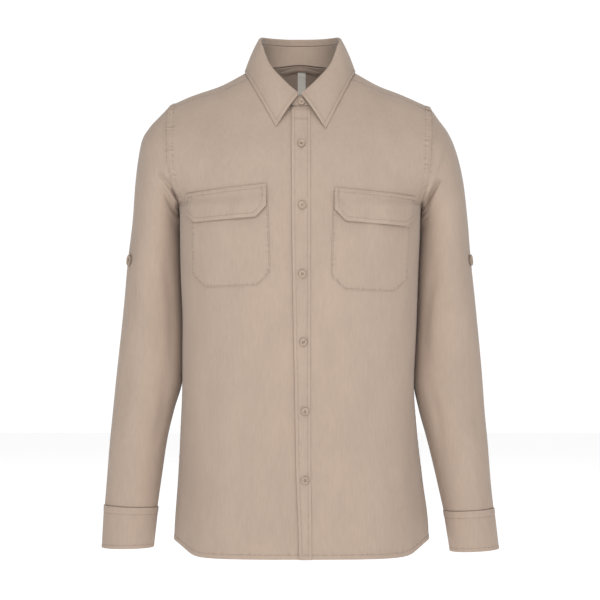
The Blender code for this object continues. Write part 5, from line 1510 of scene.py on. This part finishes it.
def add_stitches():
    threads = []
    for side, word in ((RIGHT, "right"), (LEFT, "left")):
        front = PARTS[f"front_{word}"]
        armpit = int(np.argmin(np.abs(front[:, -1, 2] - BODY_ROWS[8].edge_z)))
        name = f"front_{word}"
        threads += stitched(name, inset(front[armpit:, -1], front[armpit:, -8], ARMHOLE_SEAM.inside))
        threads += stitched(name, inset(front[:armpit, -1], front[:armpit, -8], SIDE_SEAM.inside))
        threads += stitched(name, inset(front[0], front[6], HEM_SEAM.inside))
        sleeve_grid = PARTS[f"sleeve_{word}"]
        seam_col = int(np.argmin(np.abs(spread(-180.0, 180.0, 176)[:-1] - INNER_SEAM_ANGLE)))
        for shift in (-INNER_SLEEVE_SEAM.inside, INNER_SLEEVE_SEAM.inside):
            column = sleeve_grid[8:, seam_col]
            beside = sleeve_grid[8:, (seam_col + (3 if shift > 0 else -3)) % sleeve_grid.shape[1]]
            threads += stitched(f"sleeve_{word}", inset(column, beside, abs(shift)))
        cuff = PARTS[f"cuff_{word}"]
        threads += stitched(f"cuff_{word}", inset(cuff[0], cuff[8], CUFF_TOP_SEAM.inside))
        threads += stitched(f"cuff_{word}", inset(cuff[-1], cuff[-8], CUFF_FOOT_SEAM.inside))
        threads += stitched(f"cuff_{word}", inset(cuff[:, -1], cuff[:, -6], CUFF_FOOT_SEAM.inside),
                            [(cuff[0], CUFF_TOP_SEAM.inside), (cuff[-1], CUFF_FOOT_SEAM.inside)])
        vent = PARTS[f"sleeve_placket_{word}"]
        for edge, inner in ((vent[:, 0], vent[:, 4]), (vent[:, -1], vent[:, -5]), (vent[0], vent[5])):
            threads += stitched(f"sleeve_placket_{word}", inset(edge, inner, POCKET_SEAM.inside))
        threads += patch_stitches(f"pocket_{word}", POCKET_SEAM, POCKET_TOP_SEAM)
        threads += patch_stitches(f"flap_{word}", FLAP_SEAM, FLAP_TOP_SEAM)
        flap = PARTS[f"flap_{word}"]
        threads += stitched(f"flap_{word}", inset(flap[0], flap[5], 1.4))
    back = PARTS["back"]
    for col, inner in ((0, 8), (-1, -9)):
        low = int(np.argmin(np.abs(back[:, col, 2] - BODY_ROWS[8].edge_z)))
        threads += stitched("back", inset(back[:low, col], back[:low, inner], ARMHOLE_SEAM.inside))
        threads += stitched("back", inset(back[low:, col], back[low:, inner], SIDE_SEAM.inside))
    threads += stitched("back", inset(back[-1], back[-7], HEM_SEAM.inside))
    yoke = PARTS["yoke"]
    threads += stitched("yoke", inset(yoke[:, -1], yoke[:, -8], ARMHOLE_SEAM.inside))
    threads += stitched("yoke", inset(yoke[0], yoke[4], YOKE_SEAM.inside))
    threads += stitched("yoke", inset(yoke[-1], yoke[-5], YOKE_SEAM.inside))
    placket = PARTS["placket"]
    for col, inner in ((0, 5), (-1, -6)):
        threads += stitched("placket", inset(placket[:, col], placket[:, inner], PLACKET_SEAM.inside))
    fall = PARTS["collar_fall"]
    leaf = fall.shape[0] // 3
    edges = [(fall[-1], fall[-6]), (fall[leaf:, 0], fall[leaf:, 6]), (fall[leaf:, -1], fall[leaf:, -7])]
    for edge, inner in edges:
        others = [(other, COLLAR_SEAM.inside * 0.98) for other, _ in edges if other is not edge]
        threads += stitched("collar_fall", inset(edge, inner, COLLAR_SEAM.inside), others)
    stand = PARTS["collar_stand"]
    threads += stitched("collar_stand", inset(stand[0], stand[4], STAND_SEAM.inside))
    add_threads("stitches", threads, STITCH_WIDTH, STITCH_HEIGHT)


def patch_stitches(name, seam, top_seam):
    """Stitches round a patch, inside its sides, foot and top."""
    grid = PARTS[name]
    middle = grid.mean(axis=(0, 1))
    sides = np.concatenate((grid[:, 0], grid[-1, 1:-1], grid[::-1, -1]))
    line = resampled(sides, 1.0)
    inner = line + unit(middle - line) * 5
    ends = [(grid[0], top_seam.inside * 0.6)]
    threads = stitched(name, inset(line, inner, seam.inside), ends + [(sides, seam.inside * 0.93)])
    if top_seam.inside < 20:
        threads += stitched(name, inset(grid[0], grid[6], top_seam.inside), [(grid[:, 0], 1.5), (grid[:, -1], 1.5)])
    return threads


def add_buttonholes():
    """Satin stitches either side of each buttonhole's slit."""
    steps = np.arange(-SLIT_LENGTH / 2, SLIT_LENGTH / 2 + 0.01, SLIT_PITCH)
    threads = []
    for number, (x, z) in enumerate(FRONT_BUTTONS, 1):
        level = number == len(FRONT_BUTTONS)
        for hand in (-1.0, 1.0):
            ends = []
            for aside in (0.12, 0.12 + SLIT_SIDE):
                if level:
                    xs, zs = x + 2.0 + steps, np.full(steps.shape, z + hand * aside)
                else:
                    xs, zs = np.full(steps.shape, x + hand * aside), z - 2.6 + steps
                found = [BUILT["placket"].find_nearest(Vector(point)) for point in on_front(LEFT, xs, zs, 4.0)]
                ends.append([np.array(hit[0]) for hit in found])
            threads += [(start, end, FORWARD) for start, end in zip(*ends)]
    add_threads("buttonholes", threads, 0.62, 0.2)


# Materials
MATERIALS = {}


def add_node(tree, kind, inputs=None, **settings):
    node = tree.nodes.new(kind)
    for name, value in settings.items():
        setattr(node, name, value)
    for name, value in (inputs or {}).items():
        if isinstance(value, bpy.types.NodeSocket):
            tree.links.new(value, node.inputs[name])
        else:
            node.inputs[name].default_value = value
    return node


def colour(shade, factor=1.0):
    return (shade[0] * factor, shade[1] * factor, shade[2] * factor, 1.0)


def cloth_material(name, shade, weave_scale, weave_depth, sheen):
    """Woven cotton: crossed threads in the cut's own directions, slight streaks, and painted shade in grooves and on
    edges.
    """
    material = bpy.data.materials.new(name)
    material.use_nodes = True
    tree = material.node_tree
    shader = tree.nodes["Principled BSDF"]
    place = add_node(tree, "ShaderNodeTexCoord")
    warp = add_node(tree, "ShaderNodeTexWave", {"Vector": place.outputs["UV"], "Scale": weave_scale, "Distortion": 0.6,
                                                "Detail": 1.0, "Detail Scale": 0.2}, bands_direction="X")
    weft = add_node(tree, "ShaderNodeTexWave", {"Vector": place.outputs["UV"], "Scale": weave_scale, "Distortion": 0.6,
                                                "Detail": 1.0, "Detail Scale": 0.2}, bands_direction="Y")
    woven = add_node(tree, "ShaderNodeMath", operation="MULTIPLY")
    tree.links.new(warp.outputs["Fac"], woven.inputs[0])
    tree.links.new(weft.outputs["Fac"], woven.inputs[1])
    streak_place = add_node(tree, "ShaderNodeMapping", {"Vector": place.outputs["Object"], "Scale": (1.0, 1.0, 0.16)})
    streak = add_node(tree, "ShaderNodeTexNoise", {"Vector": streak_place.outputs["Vector"], "Scale": 330.0,
                                                   "Detail": 3.0, "Roughness": 0.6})
    cloud_place = add_node(tree, "ShaderNodeMapping", {"Vector": place.outputs["Object"], "Scale": (1.0, 1.0, 0.45)})
    cloud = add_node(tree, "ShaderNodeTexNoise", {"Vector": cloud_place.outputs["Vector"], "Scale": 26.0,
                                                  "Detail": 4.0, "Roughness": 0.55})
    tone = add_node(tree, "ShaderNodeMath", {0: 0.5, 1: 0.5}, operation="ADD")
    tree.links.new(streak.outputs["Fac"], tone.inputs[0])
    tree.links.new(cloud.outputs["Fac"], tone.inputs[1])
    ramp = add_node(tree, "ShaderNodeValToRGB")
    half = add_node(tree, "ShaderNodeMath", {1: 0.5}, operation="MULTIPLY")
    tree.links.new(tone.outputs[0], half.inputs[0])
    tree.links.new(half.outputs[0], ramp.inputs["Fac"])
    ramp.color_ramp.elements[0].position = 0.36
    ramp.color_ramp.elements[0].color = colour(shade, 0.95)
    ramp.color_ramp.elements[1].position = 0.64
    ramp.color_ramp.elements[1].color = colour(shade, 1.05)
    # Painted shade: the attribute darkens the cloth's colour down to 0.45 of it
    painted_shade = add_node(tree, "ShaderNodeAttribute", attribute_name="painted_shade")
    fade = add_node(tree, "ShaderNodeMath", {1: 0.42}, operation="MULTIPLY")
    tree.links.new(painted_shade.outputs["Fac"], fade.inputs[0])
    mix = add_node(tree, "ShaderNodeMix", data_type="RGBA")
    tree.links.new(fade.outputs[0], mix.inputs["Factor"])
    tree.links.new(ramp.outputs["Color"], mix.inputs["A"])
    mix.inputs["B"].default_value = colour(shade, 0.45)
    tree.links.new(mix.outputs["Result"], shader.inputs["Base Color"])
    fuzz = add_node(tree, "ShaderNodeBump", {"Strength": 0.10, "Distance": 0.0006, "Height": cloud.outputs["Fac"]})
    threads = add_node(tree, "ShaderNodeBump", {"Strength": 0.35, "Distance": weave_depth, "Height": woven.outputs[0],
                                                "Normal": fuzz.outputs["Normal"]})
    tree.links.new(threads.outputs["Normal"], shader.inputs["Normal"])
    shader.inputs["Roughness"].default_value = 0.92
    shader.inputs["Specular IOR Level"].default_value = 0.25
    shader.inputs["Sheen Weight"].default_value = sheen
    shader.inputs["Sheen Roughness"].default_value = 0.45
    return material


def button_material():
    """Satin resin that looks like horn, with faint clouds, and painted shade on its rim and in its holes."""
    material = bpy.data.materials.new("button")
    material.use_nodes = True
    tree = material.node_tree
    shader = tree.nodes["Principled BSDF"]
    place = add_node(tree, "ShaderNodeTexCoord")
    cloud = add_node(tree, "ShaderNodeTexNoise", {"Vector": place.outputs["Object"], "Scale": 190.0, "Detail": 3.0,
                                                  "Distortion": 1.4})
    ramp = add_node(tree, "ShaderNodeValToRGB", {"Fac": cloud.outputs["Fac"]})
    ramp.color_ramp.elements[0].position = 0.3
    ramp.color_ramp.elements[0].color = colour(BUTTON_COLOUR, 0.8)
    ramp.color_ramp.elements[1].position = 0.75
    ramp.color_ramp.elements[1].color = colour(BUTTON_COLOUR, 1.2)
    # Painted shade: the attribute darkens the rim and holes down to 0.3 of the colour
    painted_shade = add_node(tree, "ShaderNodeAttribute", attribute_name="painted_shade")
    mix = add_node(tree, "ShaderNodeMix", data_type="RGBA")
    tree.links.new(painted_shade.outputs["Fac"], mix.inputs["Factor"])
    tree.links.new(ramp.outputs["Color"], mix.inputs["A"])
    mix.inputs["B"].default_value = colour(BUTTON_COLOUR, 0.3)
    tree.links.new(mix.outputs["Result"], shader.inputs["Base Color"])
    rough = add_node(tree, "ShaderNodeMapRange", {"Value": cloud.outputs["Fac"], "To Min": 0.28, "To Max": 0.42})
    tree.links.new(rough.outputs["Result"], shader.inputs["Roughness"])
    return material


def floor_material():
    material = bpy.data.materials.new("floor")
    material.use_nodes = True
    tree = material.node_tree
    shader = tree.nodes["Principled BSDF"]
    shader.inputs["Base Color"].default_value = colour(FLOOR_COLOUR)
    shader.inputs["Roughness"].default_value = 0.8
    shader.inputs["Emission Color"].default_value = (1.0, 1.0, 1.0, 1.0)
    shader.inputs["Emission Strength"].default_value = FLOOR_GLOW
    return material


# Camera, light and floor
def add_camera():
    data = bpy.data.cameras.new("camera")
    data.angle = 2 * math.atan(HALF_VIEW / CAMERA_DISTANCE)
    camera = bpy.data.objects.new("camera", data)
    camera.location = (0.0, -CAMERA_DISTANCE, CAMERA_HEIGHT)
    camera.rotation_euler = (math.radians(90), 0.0, 0.0)
    bpy.context.scene.collection.objects.link(camera)
    bpy.context.scene.camera = camera


def add_light():
    world = bpy.data.worlds.new("studio")
    bpy.context.scene.world = world
    world.use_nodes = True
    tree = world.node_tree
    back = tree.nodes["Background"]
    back.inputs["Color"].default_value = (1.0, 1.0, 1.0, 1.0)
    ray = add_node(tree, "ShaderNodeLightPath")
    strength = add_node(tree, "ShaderNodeMapRange", {"Value": ray.outputs["Is Camera Ray"], "To Min": FILL_LIGHT,
                                                     "To Max": BACKDROP_LIGHT})
    tree.links.new(strength.outputs["Result"], back.inputs["Strength"])
    for lamp in LAMPS:
        data = bpy.data.lights.new(lamp.name, "AREA")
        data.energy = lamp.power
        data.size = lamp.size
        light = bpy.data.objects.new(lamp.name, data)
        light.location = (lamp.x, lamp.y, lamp.z)
        aim = Vector((0.0, 0.0, CAMERA_HEIGHT)) - Vector(light.location)
        light.rotation_euler = aim.to_track_quat("-Z", "Y").to_euler()
        bpy.context.scene.collection.objects.link(light)
    bpy.context.scene.view_settings.view_transform = "Standard"


def add_floor():
    half = FLOOR_SIZE / 2
    mesh = bpy.data.meshes.new("floor")
    mesh.from_pydata([(-half, -half, FLOOR_Z), (half, -half, FLOOR_Z), (half, half, FLOOR_Z), (-half, half, FLOOR_Z)],
                     [], [(0, 1, 2, 3)])
    mesh.materials.append(floor_material())
    floor = bpy.data.objects.new("floor", mesh)
    bpy.context.scene.collection.objects.link(floor)


def main():
    MATERIALS["cloth"] = cloth_material("cloth", CLOTH_COLOUR, WEAVE_SCALE, 0.00012, 0.18)
    MATERIALS["thread"] = cloth_material("thread", THREAD_COLOUR, WEAVE_SCALE * 2, 0.00005, 0.1)
    MATERIALS["label"] = cloth_material("label", LABEL_COLOUR, WEAVE_SCALE * 1.6, 0.00008, 0.1)
    MATERIALS["button"] = button_material()
    add_camera()
    add_light()
    add_floor()
    for side, word in ((RIGHT, "right"), (LEFT, "left")):
        add_front(side, word)
        add_sleeve(side, word)
        add_cuff(side, word)
        add_vent(side, word)
    add_yoke()
    add_back()
    add_placket()
    for side, word in ((RIGHT, "right"), (LEFT, "left")):
        front = f"front_{word}"
        add_patch(f"pocket_{word}", side, POCKETS[side], POCKET_WALL, 0.0, [front], POCKET_SEAM, POCKET_TOP_SEAM)
        add_patch(f"flap_{word}", side, FLAPS[side], FLAP_WALL, FLAP_DROOP, [front, f"pocket_{word}"], FLAP_SEAM,
                  FLAP_TOP_SEAM)
    add_stand()
    add_fall()
    add_neck_strips()
    add_buttons()
    add_buttonholes()
    add_stitches()


main()
